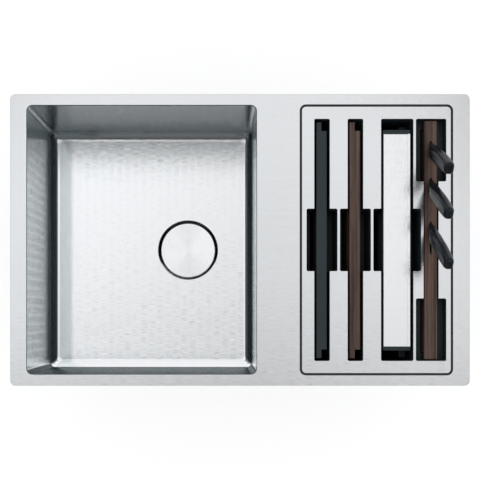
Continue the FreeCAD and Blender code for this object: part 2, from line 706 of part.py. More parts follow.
BOX_FLANGE_RADIUS = 34.0
BOX_FLANGE_SHEET = 1.5
BOX_GRID_HOLES = 10
BOX_GRID_HOLE_RADIUS = 3.0
BOX_GRID_CIRCLE = 12.5
BOX_DISH = 2.5
BOX_NECK_RADIUS = 23.0
BOX_NECK_WALL = 2.0
BOX_NECK_LENGTH = 26.0
BOX_NUT_RADIUS = 33.0
BOX_NUT_HEIGHT = 10.0
BOX_NUT_GRIPS = 8
BOX_NUT_GRIP_RADIUS = 3.0
ELBOW_ARM = 44.0
ELBOW_SEAT = 20.0
PIPE_IN_WASTE = 24.0
SLIP_NUT_LENGTH = 18.0
SLIP_NUT_WALL = 4.0
SLIP_NUT_OVERLAP = 14.0
SLIP_NUT_RIBS = 10
SLIP_NUT_RIB_RADIUS = 2.2


def make_box_grid():
    """Small steel waste in the compartment's floor: flange, neck and holed dish."""
    top, dish = FLOOR_Z + BOX_FLANGE_SHEET, FLOOR_Z - BOX_DISH
    under, neck = dish - BOX_FLANGE_SHEET, BOX_NECK_RADIUS - BOX_NECK_WALL
    grid = turned(
        [
            (0, under, 0),
            (neck, under, 0),
            (neck, FLOOR_Z - BOX_NECK_LENGTH, 0),
            (BOX_NECK_RADIUS, FLOOR_Z - BOX_NECK_LENGTH, 0),
            (BOX_NECK_RADIUS, FLOOR_Z, 0),
            (BOX_FLANGE_RADIUS, FLOOR_Z, 0),
            (BOX_FLANGE_RADIUS, top, 0.7),
            (neck - 1, top, 1),
            (neck - 3, dish, 1),
            (0, dish, 0),
        ],
        BOX_OUTLET_X,
        WASTE_Y,
    )
    for i in range(BOX_GRID_HOLES):
        angle = 2 * math.pi * i / BOX_GRID_HOLES
        x = BOX_OUTLET_X + BOX_GRID_CIRCLE * math.cos(angle)
        y = WASTE_Y + BOX_GRID_CIRCLE * math.sin(angle)
        grid = grid.cut(cylinder(BOX_GRID_HOLE_RADIUS, x, y, under - 1, dish + 1))
    return grid


def make_box_nut():
    """Plastic nut and washer that hold the small waste from below."""
    top = FLOOR_Z - BOWL_SHEET
    low = top - BOX_NUT_HEIGHT
    nut = ring(BOX_NUT_RADIUS, BOX_NECK_RADIUS, low, top, BOX_OUTLET_X, WASTE_Y)
    grips = []
    for i in range(BOX_NUT_GRIPS):
        angle = 2 * math.pi * i / BOX_NUT_GRIPS
        x = BOX_OUTLET_X + BOX_NUT_RADIUS * math.cos(angle)
        y = WASTE_Y + BOX_NUT_RADIUS * math.sin(angle)
        grips.append(cylinder(BOX_NUT_GRIP_RADIUS, x, y, low + 1, top - 2))
    return nut.cut(grips)


def make_box_elbow():
    """Elbow from the small waste to the link pipe."""
    x, west = BOX_OUTLET_X, Vector(-1, 0, 0)
    socket_low = FLOOR_Z - BOX_NECK_LENGTH
    collar_low, collar_top = socket_low - 2, FLOOR_Z - BOWL_SHEET - BOX_NUT_HEIGHT
    outer, bore = LINK_RADIUS + FITTING_WALL, LINK_RADIUS - LINK_WALL
    bend = Vector(x, WASTE_Y, LINK_Z)
    solid = fuse_all([
        cylinder(BOX_NECK_RADIUS + FITTING_WALL, x, WASTE_Y, collar_low, collar_top),
        cylinder(outer, x, WASTE_Y, LINK_Z, collar_low + 1),
        Part.makeSphere(outer, bend),
        Part.makeCylinder(outer, ELBOW_ARM, bend, west),
    ])
    seat = bend + Vector(ELBOW_SEAT - ELBOW_ARM, 0, 0)
    return solid.cut([
        cylinder(BOX_NECK_RADIUS, x, WASTE_Y, socket_low, FLOOR_Z),
        cylinder(bore, x, WASTE_Y, LINK_Z, FLOOR_Z),
        Part.makeSphere(bore, bend),
        Part.makeCylinder(bore, ELBOW_ARM, bend, west),
        Part.makeCylinder(LINK_RADIUS, ELBOW_SEAT, seat, west),
    ])


def make_link_pipe():
    """Straight pipe from the compartment's elbow to the side inlet of the main waste."""
    x0 = WASTE_X + BODY_INLET_REACH - PIPE_IN_WASTE
    x1 = BOX_OUTLET_X - ELBOW_ARM + ELBOW_SEAT
    start = Vector(x0, WASTE_Y, LINK_Z)
    outer = Part.makeCylinder(LINK_RADIUS, x1 - x0, start, Vector(1, 0, 0))
    return outer.cut(Part.makeCylinder(LINK_RADIUS - LINK_WALL, x1 - x0, start, Vector(1, 0, 0)))


def slip_nut(x, direction):
    """Ribbed slip nut about the link pipe, its open side towards the fitting."""
    fitting_radius = LINK_RADIUS + FITTING_WALL
    outer = fitting_radius + SLIP_NUT_WALL
    start = Vector(x, WASTE_Y, LINK_Z)
    along = Vector(direction, 0, 0)
    nut = Part.makeCylinder(outer, SLIP_NUT_LENGTH, start, along)
    fitting = Part.makeCylinder(fitting_radius, SLIP_NUT_OVERLAP, start, along)
    pipe = Part.makeCylinder(LINK_RADIUS, SLIP_NUT_LENGTH + 1, start, along)
    ribs = []
    for i in range(SLIP_NUT_RIBS):
        angle = 2 * math.pi * i / SLIP_NUT_RIBS
        offset = (outer + SLIP_NUT_RIB_RADIUS / 4) * Vector(0, math.cos(angle), math.sin(angle))
        ribs.append(Part.makeCylinder(SLIP_NUT_RIB_RADIUS, SLIP_NUT_LENGTH - 3, start + offset, along))
    return nut.cut([fitting, pipe] + ribs)


def make_link_nuts():
    """The two slip nuts that close the pipe's ends."""
    at_waste = slip_nut(WASTE_X + BODY_INLET_REACH - SLIP_NUT_OVERLAP, 1)
    at_elbow = slip_nut(BOX_OUTLET_X - ELBOW_ARM + SLIP_NUT_OVERLAP, -1)
    return Part.makeCompound([at_waste, at_elbow])


# ---- the lift-out insert: plate, wells and their fixings ----


def stud_places():
    """Where the plate's studs hold the wells: beyond both ends of each slot."""
    y = (SLOT_LENGTH / 2 + BOX_Y1) / 2
    return [(x, side * y) for x in SLOT_X.values() for side in (-1, 1)]


def make_insert_plate():
    """Flush plate with the four slots, and the welded studs below it."""
    plan = rectangle(PLATE_X0, PLATE_X1, -PLATE_Y1, PLATE_Y1, CUTOUT_CORNER - PLATE_GAP)
    plate = plan_prism(plan, DECK_LOW, DECK_TOP)
    for name in SLOTS:
        plate = plate.cut(plan_prism(slot_corners(name, 0), DECK_LOW - 1, DECK_TOP + 1))
    plate = plate.makeChamfer(EDGE_BREAK, top_edges(plate, PLATE_X0, PLATE_X1))
    studs = [cylinder(STUD_RADIUS, x, y, DECK_LOW - STUD_LENGTH, DECK_LOW) for x, y in stud_places()]
    return fuse_all([plate] + studs)


def well_limits(name):
    """Depth of a well's grips, and half the length of its deep part."""
    if SLOTS[name][1] == "middle":
        return GRIP_DEPTH, SLOT_LENGTH / 2
    return BLOCK_GRIP_DEPTH, BLOCK_WELL_END


def well_form(name, grow, skin):
    """The deep part and the shallow grips of a well, its outline grown and its floors lowered."""
    depth, end = well_limits(name)
    grips = plan_prism(slot_corners(name, grow), DECK_LOW - depth - skin, DECK_LOW)
    deep = plan_prism(narrow_corners(name, grow, end), WELL_FLOOR - skin, DECK_LOW)
    return fuse_all([grips, deep])


def well_tabs(name):
    """Tabs beyond the ends of a slot, drilled for the plate's studs."""
    half = SLOTS[name][0] / 2 + WELL_RELIEF + WELL_SKIN
    x, low = SLOT_X[name], DECK_LOW - WELL_TAB_SHEET
    tabs = []
    for side in (-1, 1):
        y0, y1 = sorted((side * SLOT_LENGTH / 2, side * (BOX_Y1 - WELL_SLACK)))
        tabs.append(plan_prism(rectangle(x - half, x + half, y0, y1, SLOT_CORNER), low, DECK_LOW))
    return tabs


def block_shelves():
    """Shelves in the block's well that carry its ears."""
    x = SLOT_X["knife_block"]
    half = BLOCK_THICK / 2
    low = DECK_LOW - BLOCK_GRIP_DEPTH - WELL_SKIN / 2
    inner, outer = BLOCK_WELL_END + WELL_RELIEF, SLOT_LENGTH / 2 + WELL_SKIN
    shelves = []
    for side in (-1, 1):
        y0, y1 = sorted((side * inner, side * outer))
        shelves.append(box(x - half, x + half, y0, y1, low, BLOCK_TOP - BLOCK_EAR_HEIGHT))
    return shelves


def make_well(name):
    """Black moulding under one slot: a deep well with shallow finger grips beside it."""
    skin = fuse_all([well_form(name, WELL_RELIEF + WELL_SKIN, WELL_SKIN)] + well_tabs(name))
    well = skin.cut(well_form(name, WELL_RELIEF, 0))
    if name == "knife_block":
        well = fuse_all([well] + block_shelves())
    x, half, width = SLOT_X[name], WELL_DRAIN_LENGTH / 2, WELL_DRAIN_WIDTH / 2
    holes = []
    for y in (-WELL_DRAIN_SPREAD, 0, WELL_DRAIN_SPREAD):
        drain = rectangle(x - width, x + width, y - half, y + half, 0.9 * width)
        holes.append(plan_prism(drain, WELL_FLOOR - WELL_SKIN - 1, WELL_FLOOR + 1))
    for stud_x, y in stud_places():
        holes.append(cylinder(STUD_RADIUS + SEAT_GAP, stud_x, y, -STUD_LENGTH, DECK_LOW + 1))
    return well.cut(holes)


# Nuts on the studs
NUT_RADIUS = 4.0
NUT_HEIGHT = 3.4
NUT_WASHER_RADIUS = 4.8
NUT_WASHER_SHEET = 0.8


def make_well_nuts():
    """Flanged nuts on the plate's studs, under the tabs of the wells."""
    nuts = []
    top = DECK_LOW - WELL_TAB_SHEET
    for x, y in stud_places():
        turns = [math.radians(60 * k) for k in range(7)]
        corners = [Vector(x + NUT_RADIUS * math.cos(a), y + NUT_RADIUS * math.sin(a), top) for a in turns]
        nut = Part.Face(Part.makePolygon(corners)).extrude(Vector(0, 0, -NUT_HEIGHT))
        nut = nut.fuse(cylinder(NUT_WASHER_RADIUS, x, y, top - NUT_WASHER_SHEET, top))
        nuts.append(nut.cut(cylinder(STUD_RADIUS, x, y, top - NUT_HEIGHT - 1, top + 1)))
    return Part.makeCompound(nuts)


# ---- boards and colander ----


GROOVE_INSET = 18.0
GROOVE_WIDTH = 9.0
GROOVE_DEPTH = 2.5
GROOVE_CORNER = 16.0


def board(name, groove):
    """Chopping board on its long edge; both short ends are rebated to sit on the bowl's edges."""
    x = SLOT_X[name]
    x0, x1 = x - BOARD_THICK / 2, x + BOARD_THICK / 2
    long_half = BOARD_LENGTH / 2
    short_half = long_half - BOARD_STEP
    plan = [
        (x0, -long_half, 1.2),
        (x, -long_half, 0.8),
        (x, -short_half, 0.8),
        (x1, -short_half, 1.2),
        (x1, short_half, 1.2),
        (x, short_half, 0.8),
        (x, long_half, 0.8),
        (x0, long_half, 1.2),
    ]
    body = plan_prism(plan, WELL_FLOOR, WELL_FLOOR + BOARD_HEIGHT)
    return body.cut(board_groove(x0, long_half)) if groove else body


def board_groove(face, long_half):
    """Juice groove along the four edges of a board's face."""
    rings = []
    for inset, corner in ((GROOVE_INSET, GROOVE_CORNER), (GROOVE_INSET + GROOVE_WIDTH, GROOVE_CORNER / 2)):
        y1 = long_half - inset
        plan = rectangle(-y1, y1, WELL_FLOOR + inset, WELL_FLOOR + BOARD_HEIGHT - inset, corner)
        wire = rounded_wire(plan, lambda y, z: Vector(face - 1, y, z))
        rings.append(Part.Face(wire).extrude(Vector(GROOVE_DEPTH + 1, 0, 0)))
    return rings[0].cut(rings[1])


COLANDER_BEND = 3.0
COLANDER_HEM = 4.5
COLANDER_HEM_STEP = 1.5
COLANDER_ROWS = 5
COLANDER_ROW_PITCH = 27.0
COLANDER_COLUMNS = 8
COLANDER_SLOT = 16.0
COLANDER_SLOT_WIDTH = 4.0
COLANDER_SLOT_MARGIN = 30.0
COLANDER_PLAIN_MIDDLE = 132.0
CAP_SHEET = 7.0
CAP_PLUG = 8.0
CAP_LIP_WIDTH = 12.0
CAP_LIP_INSET = 35.0


def colander_limits():
    """Left and right of the colander, and its bottom and top, as it stands in its slot."""
    x0 = SLOT_X["colander"] - COLANDER_DEPTH / 2
    return x0, x0 + COLANDER_DEPTH, WELL_FLOOR, WELL_FLOOR + BOARD_HEIGHT


def make_colander():
    """Folded steel trough on its long side, base to the left and open to the right."""
    x0, x1, z0, z1 = colander_limits()
    sheet, bend, hem = COLANDER_SHEET, COLANDER_BEND, x1 - COLANDER_HEM
    lower_half = [
        (x0 + sheet, z0 + COLANDER_HEM_STEP + sheet, bend - sheet),
        (hem + sheet, z0 + COLANDER_HEM_STEP + sheet, 0),
        (hem + sheet, z0 + sheet, 0),
        (x1, z0 + sheet, 0),
        (x1, z0, 0),
        (hem, z0, 0),
        (hem, z0 + COLANDER_HEM_STEP, 0),
        (x0, z0 + COLANDER_HEM_STEP, bend),
    ]
    upper_half = [(x, z0 + z1 - z, radius) for x, z, radius in reversed(lower_half)]
    wire = rounded_wire(lower_half + upper_half, lambda x, z: Vector(x, -COLANDER_LENGTH / 2, z))
    trough = Part.Face(wire).extrude(Vector(0, COLANDER_LENGTH, 0))
    return trough.cut(colander_slots(x0, (z0 + z1) / 2))


def colander_slots(face, middle):
    """Cutters for the two fields of drain slots in the colander's base, plain between them."""
    first, last = COLANDER_PLAIN_MIDDLE / 2, COLANDER_LENGTH / 2 - COLANDER_SLOT_MARGIN
    pitch = (last - first) / (COLANDER_COLUMNS - 1)
    columns = [side * (first + i * pitch) for side in (-1, 1) for i in range(COLANDER_COLUMNS)]
    half_y, half_z = COLANDER_SLOT_WIDTH / 2, COLANDER_SLOT / 2
    slots = []
    for y in columns:
        for row in range(COLANDER_ROWS):
            z = middle + (row - (COLANDER_ROWS - 1) / 2) * COLANDER_ROW_PITCH
            plan = rectangle(y - half_y, y + half_y, z - half_z, z + half_z, 0.95 * half_y)
            wire = rounded_wire(plan, lambda a, b: Vector(face - 1, a, b))
            slots.append(Part.Face(wire).extrude(Vector(2 + COLANDER_SHEET, 0, 0)))
    return slots


def make_colander_grips():
    """Black end caps plugged into the trough, each with a lip that rests on the bowl's edge."""
    x0, x1, z0, z1 = colander_limits()
    face, tip = COLANDER_LENGTH / 2, BOARD_LENGTH / 2
    skin = COLANDER_HEM_STEP + COLANDER_SHEET + SEAT_GAP
    plug_x, plug_face, lip = x0 + COLANDER_SHEET + SEAT_GAP, face - CAP_PLUG, x1 - CAP_LIP_WIDTH
    layers = [
        ([(x0, face, 1), (x1, face, 0.5), (x1, face + CAP_SHEET, 2), (x0, face + CAP_SHEET, 3)], 0),
        ([(lip, face + 1, 0), (x1, face + 1, 0), (x1, tip, 2), (lip, tip, 2)], CAP_LIP_INSET),
        ([(plug_x, plug_face, 2), (x1 - 1, plug_face, 2), (x1 - 1, face + 1, 0), (plug_x, face + 1, 0)],
         skin + COLANDER_BEND),
    ]
    caps = []
    for side in (-1, 1):
        solids = []
        for plan, inset in layers:
            wire = rounded_wire(plan, lambda x, y: Vector(x, side * y, z0 + inset))
            solids.append(Part.Face(wire).extrude(Vector(0, 0, z1 - z0 - 2 * inset)))
        caps.append(fuse_all(solids))
    return Part.makeCompound(caps)


# ---- knife block and knives ----

# The longest blade reaches down to a little above the block's foot
CHEF_LEAN = 33.8
CHEF_OFF_FOOT = 23.1
CHEF_LENGTH = (BLOCK_HEIGHT - CHEF_OFF_FOOT) / math.cos(math.radians(CHEF_LEAN))

# How far the slit starts from the block's end, lean from the upright in degrees, blade height and
# length, how far the point lies below the line of the spine, and the handle's length
KNIVES = {
    "paring": (36.4, 28.5, 20.0, 65.0, 14.0, 131.0),
    "utility": (102.4, 32.0, 26.0, 150.0, 16.0, 134.0),
    "chef": (180.9, CHEF_LEAN, 43.5, CHEF_LENGTH, 26.0, 136.0),
}
SPINE_STRAIGHT = 0.5
SPINE_MIDDLE = 0.78
BLADE_THICK = 2.2
BLADE_EDGE = 0.5
SLIT_SPARE = 3.0
TANG_LENGTH = 62.0
TANG_TOP = 6.0
TANG_LOW = 16.0

# Sections of the handle: how far up it and how far below the spine's line each one's centre
# lies, half its height and half its width, all for a handle of this length
HANDLE_LENGTH = 134.0
HANDLE_SECTIONS = (
    (-6.0, 12.8, 12.6, 2.4),
    (2.0, 12.4, 12.4, 3.2),
    (12.0, 12.0, 12.0, 5.0),
    (24.0, 11.5, 11.6, 7.8),
    (38.0, 11.0, 11.4, 9.3),
    (60.0, 10.4, 12.0, 9.1),
    (84.0, 9.9, 12.6, 8.8),
    (108.0, 9.7, 11.8, 8.7),
    (122.0, 9.6, 10.9, 8.4),
    (130.0, 9.6, 9.4, 7.2),
    (134.0, 9.6, 6.6, 4.8),
)


def along_blade(name):
    """Frame of one knife: (u, w) is up along the spine and from the spine to the edge."""
    x = SLOT_X["knife_block"]
    start, lean = KNIVES[name][:2]
    y = BLOCK_LENGTH / 2 - start - SLIT_SPARE / 2
    sine, cosine = math.sin(math.radians(lean)), math.cos(math.radians(lean))

    def place(u, w, across=0.0):
        return Vector(x + across, y - u * sine - w * cosine, BLOCK_TOP + u * cosine - w * sine)

    return place


def block_outline():
    """(y, z, radius) of the block: a body with an ear at each end of its top."""
    ear = BLOCK_LENGTH / 2
    body = ear - BLOCK_EAR
    under = BLOCK_TOP - BLOCK_EAR_HEIGHT
    low = BLOCK_TOP - BLOCK_HEIGHT
    return [
        (-ear, BLOCK_TOP, 1.5),
        (-ear, under, 1.5),
        (-body, under, 1.5),
        (-body, low, 6),
        (body, low, 6),
        (body, under, 1.5),
        (ear, under, 1.5),
        (ear, BLOCK_TOP, 1.5),
    ]


def curved_outline(place, corners, start, middle, end):
    """Closed wire: an arc through three (u, w) points, then straight on through the corners."""
    arc = Part.Arc(place(*start), place(*middle), place(*end))
    points = [place(*corner) for corner in [end] + corners + [start]]
    return Part.Wire([arc.toShape()] + [Part.makeLine(a, b) for a, b in zip(points, points[1:])])


def spine_arc(name, spare):
    """Three (u, w) points of the curved part of the spine, moved outwards by spare."""
    _, _, _, length, drop, _ = KNIVES[name]
    share = (SPINE_MIDDLE - SPINE_STRAIGHT) / (1 - SPINE_STRAIGHT)
    start = (-SPINE_STRAIGHT * length, -spare)
    middle = (-SPINE_MIDDLE * length - spare * share / 2, drop * share**2 - spare)
    return start, middle, (-length - spare, drop - spare)


def make_knife_block():
    """Wooden block hung by its ears, with a slanted slit for each knife."""
    x0 = SLOT_X["knife_block"] - BLOCK_THICK / 2
    wire = rounded_wire(block_outline(), lambda y, z: Vector(x0, y, z))
    block = Part.Face(wire).extrude(Vector(BLOCK_THICK, 0, 0))
    half = BLADE_THICK / 2 + SLIT_CLEARANCE
    for name in KNIVES:
        place = along_blade(name)
        height, length = KNIVES[name][2:4]
        low, top = height + SLIT_SPARE, 1.5 * height
        corners = [(-length - SLIT_SPARE / 2, low), (top, low), (top, -SLIT_SPARE / 2)]
        arc = spine_arc(name, SLIT_SPARE / 2)
        slit = Part.Face(curved_outline(lambda u, w: place(u, w, -half), corners, *arc))
        block = block.cut(slit.extrude(Vector(2 * half, 0, 0)))
    return block


def blade_wire(name, across):
    """Outline of a blade with its tang: straight spine, curved edge, dropped point."""
    _, _, height, length, drop, _ = KNIVES[name]
    place = along_blade(name)
    turn, middle, point = (place(u, w, across) for u, w in spine_arc(name, 0))
    edge_middle = place(-0.80 * length, drop + (height - drop) * 0.72, across)
    edge = place(-0.45 * length, height, across)
    corners = [
        (-2, height),
        (0, TANG_LOW),
        (TANG_LENGTH, TANG_LOW - 2),
        (TANG_LENGTH, TANG_TOP),
        (0, TANG_TOP),
        (0, 0),
    ]
    points = [edge] + [place(u, w, across) for u, w in corners] + [turn]
    edges = [Part.Arc(turn, middle, point).toShape(), Part.Arc(point, edge_middle, edge).toShape()]
    return Part.Wire(edges + [Part.makeLine(a, b) for a, b in zip(points, points[1:])])


def make_blade(name):
    """Blade ground thinner towards its edge."""
    height, length = KNIVES[name][2:4]
    place = along_blade(name)
    spine, edge = BLADE_THICK / 2, BLADE_EDGE / 2
    blank = Part.Face(blade_wire(name, -spine)).extrude(Vector(BLADE_THICK, 0, 0))
    start, low = -length - 5, height + 1
    side = [(-1, spine), (TANG_LOW, spine), (low, edge)]
    section = side + [(w, -across) for w, across in reversed(side)]
    points = [place(start, w, across) for w, across in section]
    run = place(TANG_LENGTH + 5, 0) - place(start, 0)
    return blank.common(Part.Face(Part.makePolygon(points + points[:1])).extrude(run))


def handle_section(name, u, w, half_height, half_width):
    """One rounded section across a handle."""
    place = along_blade(name)
    corner = min(half_height, half_width) * 0.85
    plan = rectangle(-half_width, half_width, w - half_height, w + half_height, corner)
    return rounded_wire(plan, lambda across, b: place(u, b, across))


def make_handle(name):
    """Black handle: thin at the blade, full at the palm, rounded at the butt, level at its foot."""
    scale = KNIVES[name][5] / HANDLE_LENGTH
    sections = [handle_section(name, u * scale, w, high, wide) for u, w, high, wide in HANDLE_SECTIONS]
    handle = Part.makeLoft(sections, True, False)
    foot = BLOCK_TOP + SEAT_GAP
    x, reach = SLOT_X["knife_block"], HANDLE_LENGTH
    handle = handle.cut(box(x - reach, x + reach, -BOWL_Y, BOWL_Y, foot - reach, foot))
    tang = Part.Face(blade_wire(name, -BLADE_THICK / 2)).extrude(Vector(BLADE_THICK, 0, 0))
    return handle.cut(tang)


def export(node, shape):
    """Write one named node."""
    shape.exportStep("parts/%s.step" % node)
    solids = len(shape.Solids)
    print("%-18s %2d solid(s), %9.1f cm3, valid %s" % (node, solids, shape.Volume / 1000, shape.isValid()))


def main():
    os.makedirs("parts", exist_ok=True)
    nodes = {
        "deck": make_deck(),
        "main_bowl": make_main_bowl(),
        "waste_recess": make_waste_recess(),
        "accessory_bowl": make_accessory_bowl(),
        "ledge_strip": make_ledge_strip(),
        "rim_seal": make_rim_seal(),
        "sound_pads": make_sound_pads(),
        "clip_brackets": at_all_clips(clip_bracket()),
        "clip_claws": at_all_clips(clip_claw()),
        "clip_screws": at_all_clips(clip_screw()),
        "drain_flange": make_drain_flange(),
        "flange_gasket": make_flange_gasket(),
        "drain_gasket": make_drain_gasket(),
        "drain_body": make_drain_body(),
        "drain_bolt": make_drain_bolt(),
        "box_grid": make_box_grid(),
        "box_nut": make_box_nut(),
        "box_elbow": make_box_elbow(),
        "link_pipe": make_link_pipe(),
        "link_nuts": make_link_nuts(),
        "strainer_basket": make_strainer_basket(),
        "basket_knob": make_basket_knob(),
        "waste_cover": make_waste_cover(),
        "insert_plate": make_insert_plate(),
        "well_nuts": make_well_nuts(),
        "black_board": board("black_board", False),
        "wood_board": board("wood_board", True),
        "colander": make_colander(),
        "colander_grips": make_colander_grips(),
        "knife_block": make_knife_block(),
    }
    for name in SLOTS:
        nodes[name + "_well"] = make_well(name)
    for name in KNIVES:
        nodes[name + "_blade"] = make_blade(name)
        nodes[name + "_handle"] = make_handle(name)
    for node, shape in nodes.items():
        export(node, shape)


main()
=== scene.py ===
# %% [markdown]
# # A workstation kitchen sink
# A flat rim of brushed stainless steel carries a deep washing bowl and a compartment. A flush plate
# with four slots closes the compartment, and in the slots stand two chopping boards, a colander and
# a knife block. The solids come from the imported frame; this file gives them their finishes and
# remodels the pieces whose curves matter most.

# %% Load the frame
import json
import math
import bpy
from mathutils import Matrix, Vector


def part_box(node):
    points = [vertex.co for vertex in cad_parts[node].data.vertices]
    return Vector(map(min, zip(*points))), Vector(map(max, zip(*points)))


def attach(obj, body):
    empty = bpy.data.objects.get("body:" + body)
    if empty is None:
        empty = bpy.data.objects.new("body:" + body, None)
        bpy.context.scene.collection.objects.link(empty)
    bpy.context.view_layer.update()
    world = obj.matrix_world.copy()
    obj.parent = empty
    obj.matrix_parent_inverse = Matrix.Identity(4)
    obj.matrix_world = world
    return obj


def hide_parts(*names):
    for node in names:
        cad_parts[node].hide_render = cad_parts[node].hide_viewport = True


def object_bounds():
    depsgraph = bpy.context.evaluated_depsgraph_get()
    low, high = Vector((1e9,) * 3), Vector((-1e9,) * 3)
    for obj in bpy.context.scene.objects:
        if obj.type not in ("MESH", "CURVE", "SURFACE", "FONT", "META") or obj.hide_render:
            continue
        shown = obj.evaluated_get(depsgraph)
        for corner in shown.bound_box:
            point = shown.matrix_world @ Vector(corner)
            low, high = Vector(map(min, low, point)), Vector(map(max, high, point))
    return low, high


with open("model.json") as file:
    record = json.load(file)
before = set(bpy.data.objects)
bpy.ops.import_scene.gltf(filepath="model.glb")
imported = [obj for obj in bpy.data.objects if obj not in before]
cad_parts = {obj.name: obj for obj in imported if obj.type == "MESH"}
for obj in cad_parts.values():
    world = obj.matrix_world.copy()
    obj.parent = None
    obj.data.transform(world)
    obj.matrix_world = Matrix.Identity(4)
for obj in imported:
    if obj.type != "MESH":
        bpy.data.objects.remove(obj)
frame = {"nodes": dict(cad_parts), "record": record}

nodes = frame["nodes"]
cad_low, cad_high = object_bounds()
print("nodes", len(nodes), "box", tuple(cad_low), tuple(cad_high))

# %% [markdown]
# ## The camera
# The photograph looks straight down. Its rim is a true rectangle, so the picture plane is parallel
# to the rim; the walls of the bowl show that the eye stands above the front of the bowl, left of
# the middle. A lens shift keeps the rim square in the frame, where turning the camera would not.

# %% Camera above the bowl
EYE = Vector((-0.0383, -0.1394, 1.308))
PICTURE = 480
FOCAL_PIXELS = 731.3
SHIFT_PIXELS = (21.5, 78.0)
SENSOR = 36.0
NEAREST = 0.05

camera = bpy.data.objects.new("Camera", bpy.data.cameras.new("Camera"))
bpy.context.scene.collection.objects.link(camera)
camera.location = EYE
camera.data.sensor_width = SENSOR
camera.data.lens = FOCAL_PIXELS / PICTURE * SENSOR
camera.data.shift_x, camera.data.shift_y = (pixels / PICTURE for pixels in SHIFT_PIXELS)
camera.data.clip_start = NEAREST
bpy.context.scene.camera = camera
print("lens", round(camera.data.lens, 2), "mm, shifted by", SHIFT_PIXELS, "pixels")

# %% [markdown]
# ## Shader arithmetic
# A finish is a little formula: take a grain, multiply it, mix two colours by it. Written as Math
# nodes that is hard to read, so a wire of the node tree is wrapped in a small class, and Python's
# own signs add the nodes.

# %% Wires and nodes
class Wire:
    """An output of a shader node; arithmetic on it adds Math nodes."""

    def __init__(self, socket):
        self.socket = socket

    def maths(self, operation, first, second=0.0):
        return node(self.socket.id_data, "ShaderNodeMath", {"operation": operation}, {0: first, 1: second})

    def __add__(self, other):
        return self.maths("ADD", self, other)

    def __radd__(self, other):
        return self.maths("ADD", other, self)

    def __sub__(self, other):
        return self.maths("SUBTRACT", self, other)

    def __rsub__(self, other):
        return self.maths("SUBTRACT", other, self)

    def __mul__(self, other):
        return self.maths("MULTIPLY", self, other)

    def __rmul__(self, other):
        return self.maths("MULTIPLY", other, self)

    def __abs__(self):
        return self.maths("ABSOLUTE", self)


def node(tree, kind, settings, inputs, output=0):
    """Add a node: its settings first, then the values or wires of its sockets. Gives one output."""
    made = tree.nodes.new(kind)
    for name, value in settings.items():
        setattr(made, name, value)
    for key, value in inputs.items():
        if isinstance(value, Wire):
            tree.links.new(value.socket, made.inputs[key])
        else:
            made.inputs[key].default_value = value
    return Wire(made.outputs[output]) if len(made.outputs) else made


def smooth_step(tree, value, low, high):
    """0 below low, 1 above high, smooth between."""
    limits = {0: value, 1: low, 2: high, 3: 0.0, 4: 1.0}
    return node(tree, "ShaderNodeMapRange", {"interpolation_type": "SMOOTHSTEP"}, limits)


print("a wire takes + - * and abs")

# %% [markdown]
# ## The bench of a finish
# Every finish starts alike: a material with a Principled shader, and the place of each point in
# the sink's own frame, stretched as the grain needs. Only the grain and the colours differ.

# %% A finish and its usual parts
class Finish:
    """A material being made; its methods add the parts that most finishes share."""

    def __init__(self, name):
        self.material = bpy.data.materials.new(name)
        self.material.use_nodes = True
        self.tree = self.material.node_tree
        self.tree.nodes.clear()
        self.place = self.add("ShaderNodeTexCoord", {}, {}, "Object")

    def add(self, kind, settings, inputs, output=0):
        return node(self.tree, kind, settings, inputs, output)

    def stretched(self, scale, move=(0, 0, 0)):
        """The place of each point, scaled and then moved."""
        return self.add("ShaderNodeMapping", {}, {"Vector": self.place, "Scale": scale, "Location": move})

    def noise(self, scale, detail=2.0, roughness=0.5, move=(0, 0, 0)):
        """Noise from 0 to 1, with so many lumps per metre along x, y and z."""
        where = self.stretched(scale, move)
        inputs = {"Vector": where, "Scale": 1.0, "Detail": detail, "Roughness": roughness}
        return self.add("ShaderNodeTexNoise", {}, inputs)

    def between(self, factor, first, second):
        """Colour mixed from first to second."""
        colours = [c if isinstance(c, Wire) else (*c, 1) for c in (first, second)]
        inputs = {0: factor, 6: colours[0], 7: colours[1]}
        return self.add("ShaderNodeMix", {"data_type": "RGBA", "clamp_factor": True}, inputs, 2)

    def steps(self, factor, low, high):
        return smooth_step(self.tree, factor, low, high)

    def facing(self):
        """The way the surface looks."""
        return self.add("ShaderNodeNewGeometry", {}, {}, "Normal")

    def vectors(self, operation, first, second=(0, 0, 0), **more):
        """Vector arithmetic; a length or a dot product gives a number."""
        output = "Value" if operation in ("LENGTH", "DOT_PRODUCT") else "Vector"
        inputs = {0: first, 1: second, **more}
        return self.add("ShaderNodeVectorMath", {"operation": operation}, inputs, output)

    def relief(self, height, depth):
        """Normals of a relief of so many metres."""
        return self.add("ShaderNodeBump", {}, {"Height": height, "Distance": depth, "Strength": 1.0})

    def finish(self, colour, rough, metal=0.0, normal=None, specular=0.5):
        """Close the material with a Principled shader."""
        inputs = {"Roughness": rough, "Metallic": metal, "Specular IOR Level": specular}
        inputs["Base Color"] = colour if isinstance(colour, Wire) else (*colour, 1)
        if normal:
            inputs["Normal"] = normal
        shader = self.add("ShaderNodeBsdfPrincipled", {}, inputs)
        self.add("ShaderNodeOutputMaterial", {}, {"Surface": shader})
        print(self.material.name, "is a finish of", len(self.tree.nodes), "nodes")
        return self.material


def toned(tone, factor):
    """A tone made darker or lighter, no brighter than white."""
    return tuple(min(c * factor, 1.0) for c in tone)


print("a finish has noise, steps, colours between two, vectors and relief")

